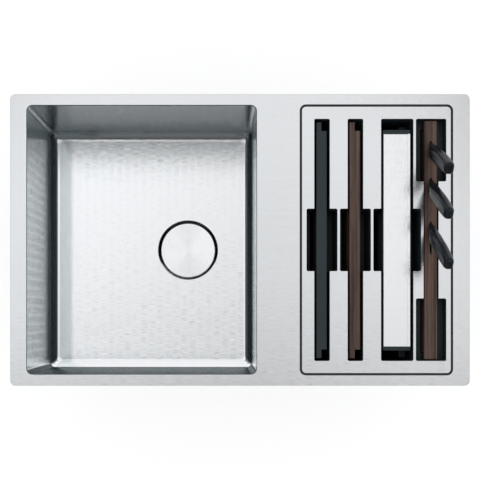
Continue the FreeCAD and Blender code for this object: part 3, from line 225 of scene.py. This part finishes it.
# %% [markdown]
# ## Brushed stainless steel
# Sheet is ground with a fine belt, which leaves thousands of shallow scratches, long and thin. Across
# the scratches a reflection is smeared wide, along them it stays sharper: that is the look of brushed
# steel. The scratches are noise stretched along one axis. They are far finer than a pixel here, where
# a relief shows nothing, so the noise leans the normals themselves to both sides of each scratch. The
# colour hardly changes, with faint wide bands where the belt pressed harder. On the rim and the plate
# the photograph shows the rolled edges dark, so there a painted shade goes on: every face that does
# not look straight up gets a darker tone in its colour.

# %% Brushed steel
FINE, SHORT = 8000.0, 60.0
BELT_ACROSS, BELT_ALONG = 240.0, 1.5
BELT_MOVE = (3.1, 1.7, 0.4)
CLOUD = (5.0, 5.0, 5.0)
DARKEST, LIGHTEST = 0.965, 1.03
ROUGH_SWING = 0.04
# painted shade: the dark tone that rolled edges of the rim and the plate take
PAINTED_EDGE_SHADE = (0.16, 0.18, 0.19)
EDGE_FROM, EDGE_TO = 0.70, 0.985


def scratch_noise(steel, along, across_pitch=FINE, along_pitch=SHORT, move=(0, 0, 0)):
    """Scratches along one axis (0 for x, 1 for y, 2 for z), so many per metre across and along it."""
    scale = [across_pitch, across_pitch, across_pitch]
    scale[along] = along_pitch
    return steel.noise(tuple(scale), 3.0, 0.6, move)


def smeared(steel, along, scratches, slope):
    """Normals that scratches along one axis lean to both sides of it."""
    facing = steel.facing()
    axis = tuple(float(i == along) for i in range(3))
    across = steel.vectors("CROSS_PRODUCT", facing, axis)
    leaning = steel.vectors("SCALE", across, Scale=(scratches - 0.5) * slope)
    return steel.vectors("NORMALIZE", steel.vectors("ADD", facing, leaning))


def brushed_steel(name, tone, rough, slope, along=0, paint_edge_shade=False):
    """Steel scratched along one axis, with a painted shade, a darker tone, on rolled edges where asked."""
    steel = Finish(name)
    scratches = scratch_noise(steel, along)
    bands = scratch_noise(steel, along, BELT_ACROSS, BELT_ALONG, BELT_MOVE)
    clouds = steel.noise(CLOUD, 2.0, 0.5)
    mixed = scratches * 0.5 + bands * 0.3 + clouds * 0.2
    colour = steel.between(steel.steps(mixed, 0.25, 0.75), toned(tone, DARKEST), toned(tone, LIGHTEST))
    # painted shade: faces that do not look straight up, such as rolled edges, take a darker tone
    if paint_edge_shade:
        upright = steel.add("ShaderNodeSeparateXYZ", {}, {0: steel.facing()}, "Z")
        colour = steel.between(steel.steps(abs(upright), EDGE_FROM, EDGE_TO), PAINTED_EDGE_SHADE, colour)
    normal = smeared(steel, along, scratches, slope)
    return steel.finish(colour, rough - ROUGH_SWING / 2 + scratches * ROUGH_SWING, 1.0, normal)


rim_steel = brushed_steel("rim_steel", (0.73, 0.74, 0.75), 0.20, 0.5, paint_edge_shade=True)
trough_steel = brushed_steel("trough_steel", (0.84, 0.84, 0.85), 0.20, 0.5, 1)
blade_steel = brushed_steel("blade_steel", (0.70, 0.71, 0.72), 0.20, 0.3, 2)
bowl_steel = brushed_steel("bowl_steel", (0.66, 0.67, 0.68), 0.22, 0.6)

# %% [markdown]
# ## Steel of the washing bowl
# Inside, the bowl is ground level with its floor: the scratches run round the walls and across the
# floor, and they lean further on the walls. In the photograph a dark line runs round the floor where
# the sheet bends, and the front wall looks darker than the others. Mirroring alone gives both too
# weakly here, so light and shade are painted into the colour, chosen by the way the surface looks: a
# painted shade on the bends and on the front wall, a painted highlight on the front bend, and a painted
# reflection, lighter and bluer than the floor, on the other walls. The front wall and its bend are also
# leaned upwards, so that they mirror more of the ceiling. Outside, the sheet stays as the mill made it.

# %% Steel of the washing bowl
BOWL_CENTRE = sum(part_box("main_bowl"), Vector()) / 2
BOWL_FLOOR_TONE = (0.85, 0.86, 0.87)
# painted reflection on the walls, painted shade on the front wall
PAINTED_WALL_REFLECTION, PAINTED_FRONT_WALL_SHADE = (0.88, 0.94, 0.96), (0.30, 0.33, 0.34)
# painted shade on the bends, painted highlight on the front bend
PAINTED_BEND_SHADE, PAINTED_FRONT_BEND_HIGHLIGHT = (0.05, 0.09, 0.10), (0.90, 0.91, 0.92)
MILL_DARK, MILL_LIGHT = (0.60, 0.61, 0.615), (0.68, 0.69, 0.70)
MILL_CLOUD = (9.0, 9.0, 30.0)
MILL_ROUGH = 0.22


def drawn_steel_finish(centre):
    """Inside and outside are told apart by whether a surface looks towards the bowl's centre."""
    steel = Finish("drawn_steel")
    facing = steel.facing()
    side, front, upright = (steel.add("ShaderNodeSeparateXYZ", {}, {0: facing}, axis) for axis in "XYZ")
    inwards = steel.vectors("SUBTRACT", tuple(centre), steel.place)
    inside = steel.steps(steel.vectors("DOT_PRODUCT", inwards, facing), 0.0, 0.01)
    level = upright * upright
    wall = 1 - steel.steps(level, 0.0, 0.6)
    rolled = steel.steps(level, 0.01, 0.10) * (1 - steel.steps(level, 0.80, 0.95)) * inside
    rearward = steel.steps(front, 0.15, 0.40) * inside
    sideways = steel.steps(side * side, 0.2, 0.3)
    lengthwise = scratch_noise(steel, 0)
    crosswise = scratch_noise(steel, 1)
    scratches = lengthwise + (crosswise - lengthwise) * sideways
    slope = 1.0 + wall * 0.6
    lengthwise_normal, crosswise_normal = (smeared(steel, along, scratches, slope) for along in (0, 1))
    normal = steel.between(sideways, lengthwise_normal, crosswise_normal)
    lifted = steel.vectors("SCALE", (0, 0, 1), Scale=rearward * (rolled * 1.0 + wall * 0.5))
    normal = steel.vectors("NORMALIZE", steel.vectors("ADD", normal, lifted))
    # painted reflection: the walls take a lighter, bluer tone than the floor; painted shade: the front wall
    # takes a darker one
    colour = steel.between(wall, BOWL_FLOOR_TONE, steel.between(rearward, PAINTED_WALL_REFLECTION, PAINTED_FRONT_WALL_SHADE))
    # painted shade on the bends round the floor, except at the front, deepest on the left and right
    shade = rolled * (1 - rearward) * (0.50 + sideways * 0.42)
    colour = steel.between(shade, colour, PAINTED_BEND_SHADE)
    # painted highlight: the front bend takes a bright tone
    colour = steel.between(rolled * rearward, colour, PAINTED_FRONT_BEND_HIGHLIGHT)
    mill = steel.between(steel.noise(MILL_CLOUD, 3.0), MILL_DARK, MILL_LIGHT)
    colour = steel.between(inside, mill, colour)
    rough = MILL_ROUGH - inside * 0.14 + wall * inside * 0.10 + scratches * ROUGH_SWING
    return steel.finish(colour, rough, 1.0, normal)


drawn_steel = drawn_steel_finish(BOWL_CENTRE)

# %% [markdown]
# ## Turned steel
# The cover over the waste is finished on a lathe. The distance from the centre line gives rings of
# slightly different tone and gloss. Fine noise leans the normals towards and away from the middle,
# as turned grooves do, which draws the light and dark sectors of such a disc.

# %% Turned steel of the cover
cover_low, cover_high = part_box("waste_cover")
COVER_CENTRE = (cover_low + cover_high) / 2
GROOVE_PITCH = 2600.0
RING_PITCH = 1300.0
GROOVE_SLOPE = 1.8


def turned_steel(name, tone, centre):
    """Steel turned about an upright line through a centre."""
    steel = Finish(name)
    out = steel.stretched((1, 1, 0), (-centre.x, -centre.y, 0))
    radius = steel.vectors("LENGTH", out)
    grooved = {"Vector": steel.vectors("SCALE", out, Scale=GROOVE_PITCH), "Scale": 1.0, "Detail": 3.0}
    grooves = steel.add("ShaderNodeTexNoise", {}, grooved)
    ringed_by = {"W": radius * RING_PITCH, "Scale": 1.0, "Detail": 3.0}
    bands = steel.add("ShaderNodeTexNoise", {"noise_dimensions": "1D"}, ringed_by)
    outwards = steel.vectors("NORMALIZE", out)
    spread = steel.vectors("SCALE", outwards, Scale=(grooves - 0.5) * GROOVE_SLOPE)
    normal = steel.vectors("NORMALIZE", steel.vectors("ADD", steel.facing(), spread))
    colour = steel.between(bands, toned(tone, 0.96), toned(tone, LIGHTEST))
    return steel.finish(colour, 0.10 + bands * 0.08, 1.0, normal)


cover_steel = turned_steel("cover_steel", (0.95, 0.95, 0.95), COVER_CENTRE)

# %% [markdown]
# ## Zinc plate
# Clips, screws and nuts are cheap plated steel: greyer than stainless, with a soft, slightly
# spangled sheen.

# %% Zinc plate
SPANGLES = 500.0
SPANGLE_DEPTH = 0.00002


def zinc_plate():
    zinc = Finish("zinc_steel")
    spangle = zinc.add("ShaderNodeTexVoronoi", {}, {"Vector": zinc.place, "Scale": SPANGLES}, "Distance")
    clouds = zinc.noise((90, 90, 90), 3.0)
    colour = zinc.between(clouds, (0.52, 0.53, 0.52), (0.68, 0.69, 0.67))
    return zinc.finish(colour, 0.32 + spangle * 0.14, 1.0, zinc.relief(spangle, SPANGLE_DEPTH))


zinc_steel = zinc_plate()

# %% [markdown]
# ## Rubber and moulded plastic
# What tells these apart is their grain. The seal is pitted foam, the sound pads are speckled and
# soft, the wells have the even fine spark texture of a mould, the waste is smoother, and the knife
# handles are the smoothest, with a soft shine.

# %% Rubber, pads and plastics
DULL_SPECULAR = 0.3
GRAIN_SWING = 0.12


def grained(name, dark, light, rough, lumps, depth, speckle=0.0):
    """A moulded surface with grain of so many lumps per metre; speckle shows it in the colour too."""
    stuff = Finish(name)
    grain = stuff.noise((lumps, lumps, lumps), 2.0, 0.6)
    clouds = stuff.noise((14, 14, 14), 3.0)
    mixed = grain * (0.3 + speckle) + clouds * (0.7 - speckle)
    colour = stuff.between(stuff.steps(mixed, 0.35, 0.65), dark, light)
    swing = rough - GRAIN_SWING / 2 + grain * GRAIN_SWING
    return stuff.finish(colour, swing, 0.0, stuff.relief(grain, depth), DULL_SPECULAR)


seal_rubber = grained("seal_rubber", (0.035, 0.035, 0.037), (0.06, 0.06, 0.062), 0.85, 1600, 0.0002, 0.3)
pad_rubber = grained("pad_rubber", (0.13, 0.14, 0.15), (0.20, 0.21, 0.22), 0.80, 900, 0.0001, 0.4)
waste_plastic = grained("waste_plastic", (0.76, 0.77, 0.77), (0.86, 0.87, 0.87), 0.38, 300, 0.00003)
tray_plastic = grained("tray_plastic", (0.018, 0.029, 0.034), (0.026, 0.038, 0.043), 0.55, 2600, 0.00003)
handle_plastic = grained("handle_plastic", (0.003, 0.007, 0.011), (0.007, 0.012, 0.017), 0.26, 3200, 0.00002)

# %% [markdown]
# ## Black laminate
# The black board is pressed from sheets of dyed paper and resin, matt and very even. On its edges
# the sheets show as faint streaks along the board, on its faces as faint clouds.

# %% Black laminate
def laminate():
    board = Finish("board_laminate")
    grain = board.noise((700, 700, 700), 2.0)
    sheets = board.noise((900, 12, 14), 2.0) * 0.5 + board.noise((900, 30, 6), 2.0, 0.5, (2, 5, 1)) * 0.5
    colour = board.between(grain * 0.5 + sheets * 0.5, (0.021, 0.031, 0.035), (0.034, 0.047, 0.052))
    return board.finish(colour, 0.42 + grain * 0.14, 0.0, board.relief(sheets, 0.00004), DULL_SPECULAR)


board_laminate = laminate()

# %% [markdown]
# ## Dark wood
# The board and the knife block are a dark, straight-grained hardwood, oiled. Long fibres run
# along y with darker bands between growth rings, and short open pores sit in them.

# %% Dark wood
WOOD_DARK, WOOD_LIGHT, PORE_TONE = (0.036, 0.020, 0.016), (0.165, 0.100, 0.078), (0.035, 0.022, 0.018)
FIBRE_DEPTH = 0.00008


def dark_wood_finish():
    wood = Finish("dark_wood")
    rings = wood.noise((190, 2.2, 26), 3.0, 0.55)
    fibres = wood.noise((1500, 14, 700), 3.0, 0.6)
    pores = wood.noise((1100, 30, 900), 1.0, 0.5, (4, 2, 7))
    tone = wood.steps(rings * 0.65 + fibres * 0.35, 0.34, 0.66)
    colour = wood.between(tone, WOOD_DARK, WOOD_LIGHT)
    pits = wood.steps(pores, 0.60, 0.70)
    colour = wood.between(pits * 0.55, colour, PORE_TONE)
    normal = wood.relief(fibres - pits * 0.6, FIBRE_DEPTH)
    return wood.finish(colour, 0.44 + fibres * 0.14, 0.0, normal, DULL_SPECULAR)


dark_wood = dark_wood_finish()

# %% [markdown]
# ## Every solid gets its finish
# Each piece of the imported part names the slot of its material, and the finish of that name goes on
# it. Two pieces differ from the others in their slot: the knob of the basket is turned like the
# cover, and the colander is brushed along its length.

# %% Give every solid its finish
finishes = {
    "rim_steel": rim_steel, "bowl_steel": bowl_steel, "blade_steel": blade_steel, "zinc_steel": zinc_steel,
    "seal_rubber": seal_rubber, "pad_rubber": pad_rubber, "waste_plastic": waste_plastic,
    "tray_plastic": tray_plastic, "board_laminate": board_laminate, "dark_wood": dark_wood,
    "handle_plastic": handle_plastic,
}
SLOTS = {part["node"]: part["material_slot"] for part in frame["record"]["subparts"]}
for node_name, slot in SLOTS.items():
    solid = nodes[node_name]
    solid.data.materials.clear()
    solid.data.materials.append(finishes[slot])
nodes["basket_knob"].data.materials[0] = cover_steel
nodes["colander"].data.materials[0] = trough_steel
print(len(finishes), "finishes on", len(nodes), "nodes")

# %% [markdown]
# ## Working a mesh
# Pieces that need smooth curves are modelled again by hand. The steps are always the same few: put a
# primitive in place, choose faces by where they lie and which way they look, and extrude, scale or
# bevel them.

# %% Choosing and editing
def leave():
    """Go back to object mode."""
    bpy.ops.object.mode_set(mode="OBJECT")


def only(piece):
    """Make one object the only one selected, and active, in object mode."""
    if bpy.context.mode != "OBJECT":
        leave()
    bpy.ops.object.select_all(action="DESELECT")
    piece.select_set(True)
    bpy.context.view_layer.objects.active = piece


def added(name):
    """Name the primitive just added; its place and size go into its mesh."""
    piece = bpy.context.object
    piece.name = piece.data.name = name
    only(piece)
    bpy.ops.object.transform_apply(location=True, rotation=True, scale=True)
    return piece


def edit(piece, kind="FACE"):
    """Enter edit mode with nothing chosen."""
    only(piece)
    bpy.ops.object.mode_set(mode="EDIT")
    bpy.ops.mesh.select_mode(type=kind)
    bpy.ops.mesh.select_all(action="DESELECT")


def choose_faces(piece, test):
    """Choose the faces whose (middle, normal) pass the test; leaves the piece in edit mode."""
    edit(piece)
    leave()
    for face in piece.data.polygons:
        face.select = test(face.center, face.normal)
    bpy.ops.object.mode_set(mode="EDIT")


print("faces are chosen by their middle and normal")

# %% [markdown]
# ## Finishing a mesh
# A modifier is applied as soon as it is set, so that each piece ends as a plain mesh. A finished
# piece then stands for its node of the frame, rides on that node's body and takes its slot.

# %% Modifiers, and a piece in place
SHARP_FROM = 35.0
CUTTER_REACH = 0.01


def apply_modifier(piece, kind, **settings):
    """Add a modifier, set it and apply it."""
    only(piece)
    modifier = piece.modifiers.new(kind.title(), kind)
    for key, value in settings.items():
        setattr(modifier, key, value)
    bpy.ops.object.modifier_apply(modifier=modifier.name)


def combine(piece, other, operation):
    """Cut a solid out of a piece, or join it on, and remove that solid."""
    apply_modifier(piece, "BOOLEAN", operation=operation, object=other, solver="EXACT")
    bpy.data.objects.remove(other)


def smooth(piece):
    """Smooth shading up to an angle, with the large flat faces kept flat."""
    only(piece)
    bpy.ops.object.shade_smooth_by_angle(angle=math.radians(SHARP_FROM))
    apply_modifier(piece, "WEIGHTED_NORMAL", keep_sharp=True)


def drill(piece, radius, x, y, height, sides=96):
    """Cut a round hole through a sheet at a height."""
    low, high = height - CUTTER_REACH, height + CUTTER_REACH
    middle = (x, y, (low + high) / 2)
    bpy.ops.mesh.primitive_cylinder_add(vertices=sides, radius=radius, depth=high - low, location=middle)
    combine(piece, bpy.context.object, "DIFFERENCE")


def put_in_place(piece, node_name, body, finish):
    """Coat a finished piece and let it stand for a node of the frame."""
    piece.data.materials.clear()
    piece.data.materials.append(finish)
    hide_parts(node_name)
    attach(piece, body)
    print(piece.name, len(piece.data.polygons), "faces for", node_name)


print("edges sharper than", SHARP_FROM, "degrees stay sharp")

# %% [markdown]
# ## Walls of the washing bowl
# The bowl is folded from one sheet: straight walls, upright corners of small radius and a wider roll
# into the floor. A plane with its corners rounded is extruded down along the walls, as far as the
# roll begins.

# %% Walls of the washing bowl
SHEET = 0.0012
CORNER = 0.010
CORNER_SEGMENTS = 10
ROLL = 0.017

outer_low, outer_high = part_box("main_bowl")
bowl_low = Vector((outer_low.x + SHEET, outer_low.y + SHEET, outer_low.z + SHEET))
bowl_high = Vector((outer_high.x - SHEET, outer_high.y - SHEET, outer_high.z))
bowl_middle = (bowl_low + bowl_high) / 2
width, depth = bowl_high.x - bowl_low.x, bowl_high.y - bowl_low.y

bpy.ops.mesh.primitive_plane_add(size=1, location=(bowl_middle.x, bowl_middle.y, bowl_high.z))
bpy.context.object.scale = (width, depth, 1)
bowl = added("bowl")
edit(bowl, "VERT")
bpy.ops.mesh.select_all(action="SELECT")
bpy.ops.mesh.bevel(offset=CORNER, segments=CORNER_SEGMENTS, affect="VERTICES")
choose_faces(bowl, lambda middle, normal: True)
drop = bowl_low.z + ROLL - bowl_high.z
bpy.ops.mesh.extrude_region_move(TRANSFORM_OT_translate={"value": (0, 0, drop)})
print("walls", round(width, 4), "by", round(depth, 4), "and", round(-drop, 4), "deep")

# %% [markdown]
# ## Roll, sheet and hole of the bowl
# The roll matters most here, because it draws the line round the floor. The same face goes on in
# small steps down and inwards, round a quarter of a circle. The top is opened, the sheet thickened
# outwards, and the hole for the waste cut.

# %% Roll, sheet and hole of the bowl
ROLL_STEPS = 12
RECESS = 0.061
RIM_REACH = 0.001
LEVEL = 0.9

waste_x, waste_y = COVER_CENTRE.x, COVER_CENTRE.y
inset = fall = 0.0
for step in range(1, ROLL_STEPS + 1):
    turn = math.pi / 2 * step / ROLL_STEPS
    new_inset, new_fall = ROLL * (1 - math.cos(turn)), ROLL * math.sin(turn)
    bpy.ops.mesh.extrude_region_move(TRANSFORM_OT_translate={"value": (0, 0, fall - new_fall)})
    narrower = [(size - 2 * new_inset) / (size - 2 * inset) for size in (width, depth)]
    bpy.ops.transform.resize(value=(*narrower, 1))
    inset, fall = new_inset, new_fall
leave()
choose_faces(bowl, lambda middle, normal: middle.z > bowl_high.z - RIM_REACH and abs(normal.z) > LEVEL)
bpy.ops.mesh.delete(type="FACE")
edit(bowl)
bpy.ops.mesh.select_all(action="SELECT")
bpy.ops.mesh.normals_make_consistent(inside=True)
leave()
apply_modifier(bowl, "SOLIDIFY", thickness=SHEET, offset=-1.0, use_even_offset=True)
drill(bowl, RECESS + SHEET, waste_x, waste_y, outer_low.z)
smooth(bowl)
put_in_place(bowl, "main_bowl", "sink", drawn_steel)
print("bowl from", [round(v, 5) for v in bowl.bound_box[0]], "to", [round(v, 5) for v in bowl.bound_box[6]])

# %% [markdown]
# ## Round pieces
# The pan under the waste is pressed and its cover is turned, so both are rings upon rings: a filled
# circle is extruded and scaled to each radius in turn, and bends are short runs of such rings.

# %% Rings upon rings
def ringed(name, x, y, rings, sides=128):
    """Solid through rings of (radius, height), with a flat face at both ends."""
    radius, height = rings[0]
    place = (x, y, height)
    bpy.ops.mesh.primitive_circle_add(vertices=sides, radius=radius, fill_type="NGON", location=place)
    piece = added(name)
    edit(piece)
    bpy.ops.mesh.select_all(action="SELECT")
    for new_radius, new_height in rings[1:]:
        bpy.ops.mesh.extrude_region_move(TRANSFORM_OT_translate={"value": (0, 0, new_height - height)})
        growth = new_radius / radius
        bpy.ops.transform.resize(value=(growth, growth, 1), center_override=(x, y, new_height))
        radius, height = new_radius, new_height
    bpy.ops.mesh.select_all(action="SELECT")
    bpy.ops.mesh.normals_make_consistent(inside=False)
    leave()
    return piece


def bend(radius, height, size, first, last, steps=6):
    """Rings round a bend about a centre, from one angle to another in degrees."""
    turns = [math.radians(first + (last - first) * i / steps) for i in range(steps + 1)]
    return [(radius + size * math.cos(t), height + size * math.sin(t)) for t in turns]


print("a quarter bend takes", len(bend(1, 0, 1, 0, 90)), "rings")

# %% [markdown]
# ## Pan under the waste
# The floor of the bowl drops into a round pan with a soft bend at its foot, so that the cover lies
# below the floor and water runs in all round it. The hole in its middle takes the waste.

# %% Pan under the waste
PAN_DEPTH = 0.013
PAN_ROLL = 0.006
WASTE_HOLE = 0.044

pan_floor = bowl_low.z - PAN_DEPTH
pan_outside = bend(RECESS - PAN_ROLL, pan_floor + PAN_ROLL, PAN_ROLL + SHEET, -90, 0)
pan_inside = bend(RECESS - PAN_ROLL, pan_floor + PAN_ROLL, PAN_ROLL, 0, -90)
pan_lip = [(RECESS + SHEET, bowl_low.z), (RECESS + SHEET / 2, bowl_low.z), (RECESS, bowl_low.z - SHEET / 2)]
pan = ringed("waste_pan", waste_x, waste_y, pan_outside + pan_lip + pan_inside)
drill(pan, WASTE_HOLE, waste_x, waste_y, pan_floor)
smooth(pan)
put_in_place(pan, "waste_recess", "sink", drawn_steel)

# %% [markdown]
# ## Cover over the waste
# A thin turned disc with a short skirt; its edge is rounded, because fingers lift it by that edge.
# A socket under its middle sits on the knob of the basket.

# %% Cover over the waste
COVER_SHEET = 0.0015
SKIRT = 0.003
EDGE = 0.001
SOCKET_OUTER, SOCKET_INNER = 0.0088, 0.0073
SOCKET_SIDES = 48

edge_radius = (cover_high.x - cover_low.x) / 2
inner_radius = edge_radius - COVER_SHEET
top, under = cover_high.z, cover_high.z - COVER_SHEET
foot = top - SKIRT
skirt_rings = [(inner_radius, foot), (edge_radius - EDGE / 2, foot), (edge_radius, foot + EDGE / 2)]
cover_rings = bend(inner_radius - EDGE, under - EDGE, EDGE, 90, 0, 3) + skirt_rings
cover_rings += bend(edge_radius - EDGE, top - EDGE, EDGE, 0, 90)
cover = ringed("cover_disc", waste_x, waste_y, cover_rings)
socket_rings = [(SOCKET_OUTER, under + EDGE / 2), (SOCKET_OUTER, cover_low.z)]
socket_rings += [(SOCKET_INNER, cover_low.z), (SOCKET_INNER, under)]
combine(cover, ringed("cover_socket", waste_x, waste_y, socket_rings, SOCKET_SIDES), "UNION")
smooth(cover)
put_in_place(cover, "waste_cover", "cover", cover_steel)

# %% [markdown]
# ## Chopping boards
# Each board is one slab with both short ends cut to half its thickness, so that it drops between the
# edges of the bowl and cannot slide. The wooden one has a groove for juice round its face. A router
# has taken the sharpness off every edge.

# %% Slab and groove
GROOVE_INSET = 0.018
GROOVE_WIDTH = 0.009
GROOVE_DEPTH = 0.0025
GROOVE_CORNER = 0.016
GROOVE_SEGMENTS = 6
FACE_MIDDLE = 0.03


def slab(name, low, high):
    """Box between two corners."""
    bpy.ops.mesh.primitive_cube_add(size=1, location=(low + high) / 2)
    bpy.context.object.scale = high - low
    return added(name)


def groove(piece, middle):
    """Sink a groove round the face that looks to the left."""
    choose_faces(piece, lambda centre, normal: normal.x < -LEVEL)
    bpy.ops.mesh.inset(thickness=GROOVE_INSET)
    bpy.ops.mesh.select_mode(type="VERT")
    bpy.ops.mesh.bevel(offset=GROOVE_CORNER, segments=GROOVE_SEGMENTS, affect="VERTICES")
    near = lambda centre: (centre - middle).yz.length < FACE_MIDDLE
    choose_faces(piece, lambda centre, normal: normal.x < -LEVEL and near(centre))
    bpy.ops.mesh.inset(thickness=GROOVE_WIDTH, use_select_inset=True)
    bpy.ops.mesh.extrude_region_move(TRANSFORM_OT_translate={"value": (GROOVE_DEPTH, 0, 0)})
    leave()


print("groove", GROOVE_WIDTH, "wide and", GROOVE_DEPTH, "deep")

# %% [markdown]
# ## Stepped ends and eased edges
# A cutter as tall as the board takes half of its thickness away at each end. The eased edges come
# last, so that they run round the steps and the groove too.

# %% Both boards
BOARD_STEP = 0.0155
BOARD_EDGE = 0.0009
BOARD_EDGE_SEGMENTS = 3
BOARD_SHARP_FROM = 50


def board(name, node_name, finish, grooved):
    """A board in the place of its node, with stepped ends and eased edges."""
    low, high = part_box(node_name)
    middle = (low + high) / 2
    piece = slab(name, low, high)
    for side in (-1, 1):
        ends = sorted((side * (high.y - BOARD_STEP), side * (high.y + BOARD_STEP)))
        notch_low = Vector((middle.x, ends[0], low.z - CUTTER_REACH))
        notch_high = Vector((high.x + CUTTER_REACH, ends[1], high.z + CUTTER_REACH))
        combine(piece, slab("notch", notch_low, notch_high), "DIFFERENCE")
    if grooved:
        groove(piece, middle)
    sharp = {"limit_method": "ANGLE", "angle_limit": math.radians(BOARD_SHARP_FROM)}
    apply_modifier(piece, "BEVEL", width=BOARD_EDGE, segments=BOARD_EDGE_SEGMENTS, **sharp)
    smooth(piece)
    put_in_place(piece, node_name, "stored_" + node_name, finish)


board("black_slab", "black_board", board_laminate, False)
board("wood_slab", "wood_board", dark_wood, True)

# %% [markdown]
# ## Floor
# The background of the photograph is white, so the floor is pale and glows a little where the camera
# or a mirror sees it, while it still takes the sink's shadow. The glow lights nothing else.

# %% Floor
FLOOR_SIZE = 30
FLOOR_GAP = 0.001
FLOOR_TONE = (0.85, 0.85, 0.85, 1)
FLOOR_GLOW = 1.25
GLOW_SEEN, GLOW_MIRRORED = 0.6, 0.2

bpy.ops.object.select_all(action="DESELECT")
bpy.ops.mesh.primitive_plane_add(size=FLOOR_SIZE, location=(0, 0, cad_low.z - FLOOR_GAP))
floor = bpy.context.object
floor.name = "floor"
pale = Finish("floor_pale")
seen = pale.add("ShaderNodeLightPath", {}, {}, "Is Camera Ray")
mirrored = pale.add("ShaderNodeLightPath", {}, {}, "Is Glossy Ray")
lit = pale.add("ShaderNodeBsdfDiffuse", {}, {"Color": FLOOR_TONE})
glow = pale.add("ShaderNodeEmission", {}, {"Color": (1, 1, 1, 1), "Strength": FLOOR_GLOW})
glowing = seen * GLOW_SEEN + mirrored * GLOW_MIRRORED
mix = pale.add("ShaderNodeMixShader", {}, {0: glowing, 1: lit, 2: glow})
pale.add("ShaderNodeOutputMaterial", {}, {"Surface": mix})
floor.data.materials.append(pale.material)
print("floor", FLOOR_SIZE, "m wide at", round(cad_low.z - FLOOR_GAP, 4))

# %% [markdown]
# ## Studio
# Steel shows its surroundings more than itself, so the room that it mirrors is drawn as the steel
# needs it: a wide soft ceiling light straight above, brighter to the left, the right and the back,
# where it also comes down lower; darkness beside it; and a pale horizon that the outer walls mirror.
# Only mirrored rays see this room. Other surfaces see an even light, at which their colours show
# about as they are written, and the camera sees a white sky.

# %% World
world = bpy.data.worlds.new("studio")
bpy.context.scene.world = world
world.use_nodes = True
studio = world.node_tree
studio.nodes.clear()

RIGHT_OF_MIDDLE = 0.04
CEILING_LEVEL, BEHIND_LEVEL, AHEAD_LEVEL = 1.48, 0.9, 0.10
HORIZON_LEVEL, WALLS_LEVEL, DARK_LEVEL = 0.7, 0.13, 0.02
EVEN_LEVEL, SKY_LIFT = 0.85, 0.15
RED_SHARE, BLUE_SHARE = 0.99, 1.01


def rise(value, low, high):
    return smooth_step(studio, value, low, high)


toward = node(studio, "ShaderNodeTexCoord", {}, {}, "Generated")
side, back, up = (node(studio, "ShaderNodeSeparateXYZ", {}, {0: toward}, axis) for axis in "XYZ")
lean = abs(side - RIGHT_OF_MIDDLE)
spread = 0.565 + back * 0.46 + lean * 0.44
ceiling = rise(up, 0.87, 0.93) * rise(back, -0.34, -0.10) * spread * CEILING_LEVEL
behind = rise(back, 0.25, 0.45) * rise(up, 0.45, 0.60) * BEHIND_LEVEL
ahead = rise(0 - back, 0.30, 0.60) * rise(up, 0.30, 0.50) * AHEAD_LEVEL
horizon = (1 - rise(up, 0.10, 0.34)) * HORIZON_LEVEL
walls = rise(up, 0.25, 0.40) * (1 - rise(up, 0.70, 0.85)) * WALLS_LEVEL
room = ceiling.maths("MAXIMUM", ceiling, behind) + horizon + ahead + walls + DARK_LEVEL
in_mirror = node(studio, "ShaderNodeLightPath", {}, {}, "Is Glossy Ray")
in_view = node(studio, "ShaderNodeLightPath", {}, {}, "Is Camera Ray")
level = room * in_mirror + EVEN_LEVEL * (1 - in_mirror) + SKY_LIFT * in_view
tint = {"Red": level * RED_SHARE, "Green": level, "Blue": level * BLUE_SHARE}
shade = node(studio, "ShaderNodeCombineColor", {}, tint)
background = node(studio, "ShaderNodeBackground", {}, {"Color": shade, "Strength": 1.0})
node(studio, "ShaderNodeOutputWorld", {}, {"Surface": background})
print("studio of", len(studio.nodes), "nodes")

# %% [markdown]
# ## Closing the scene
# The view is Standard, so that a colour shows as it is written. The looks may not reach past the
# solids.

# %% Close the scene
bpy.context.scene.view_settings.view_transform = "Standard"
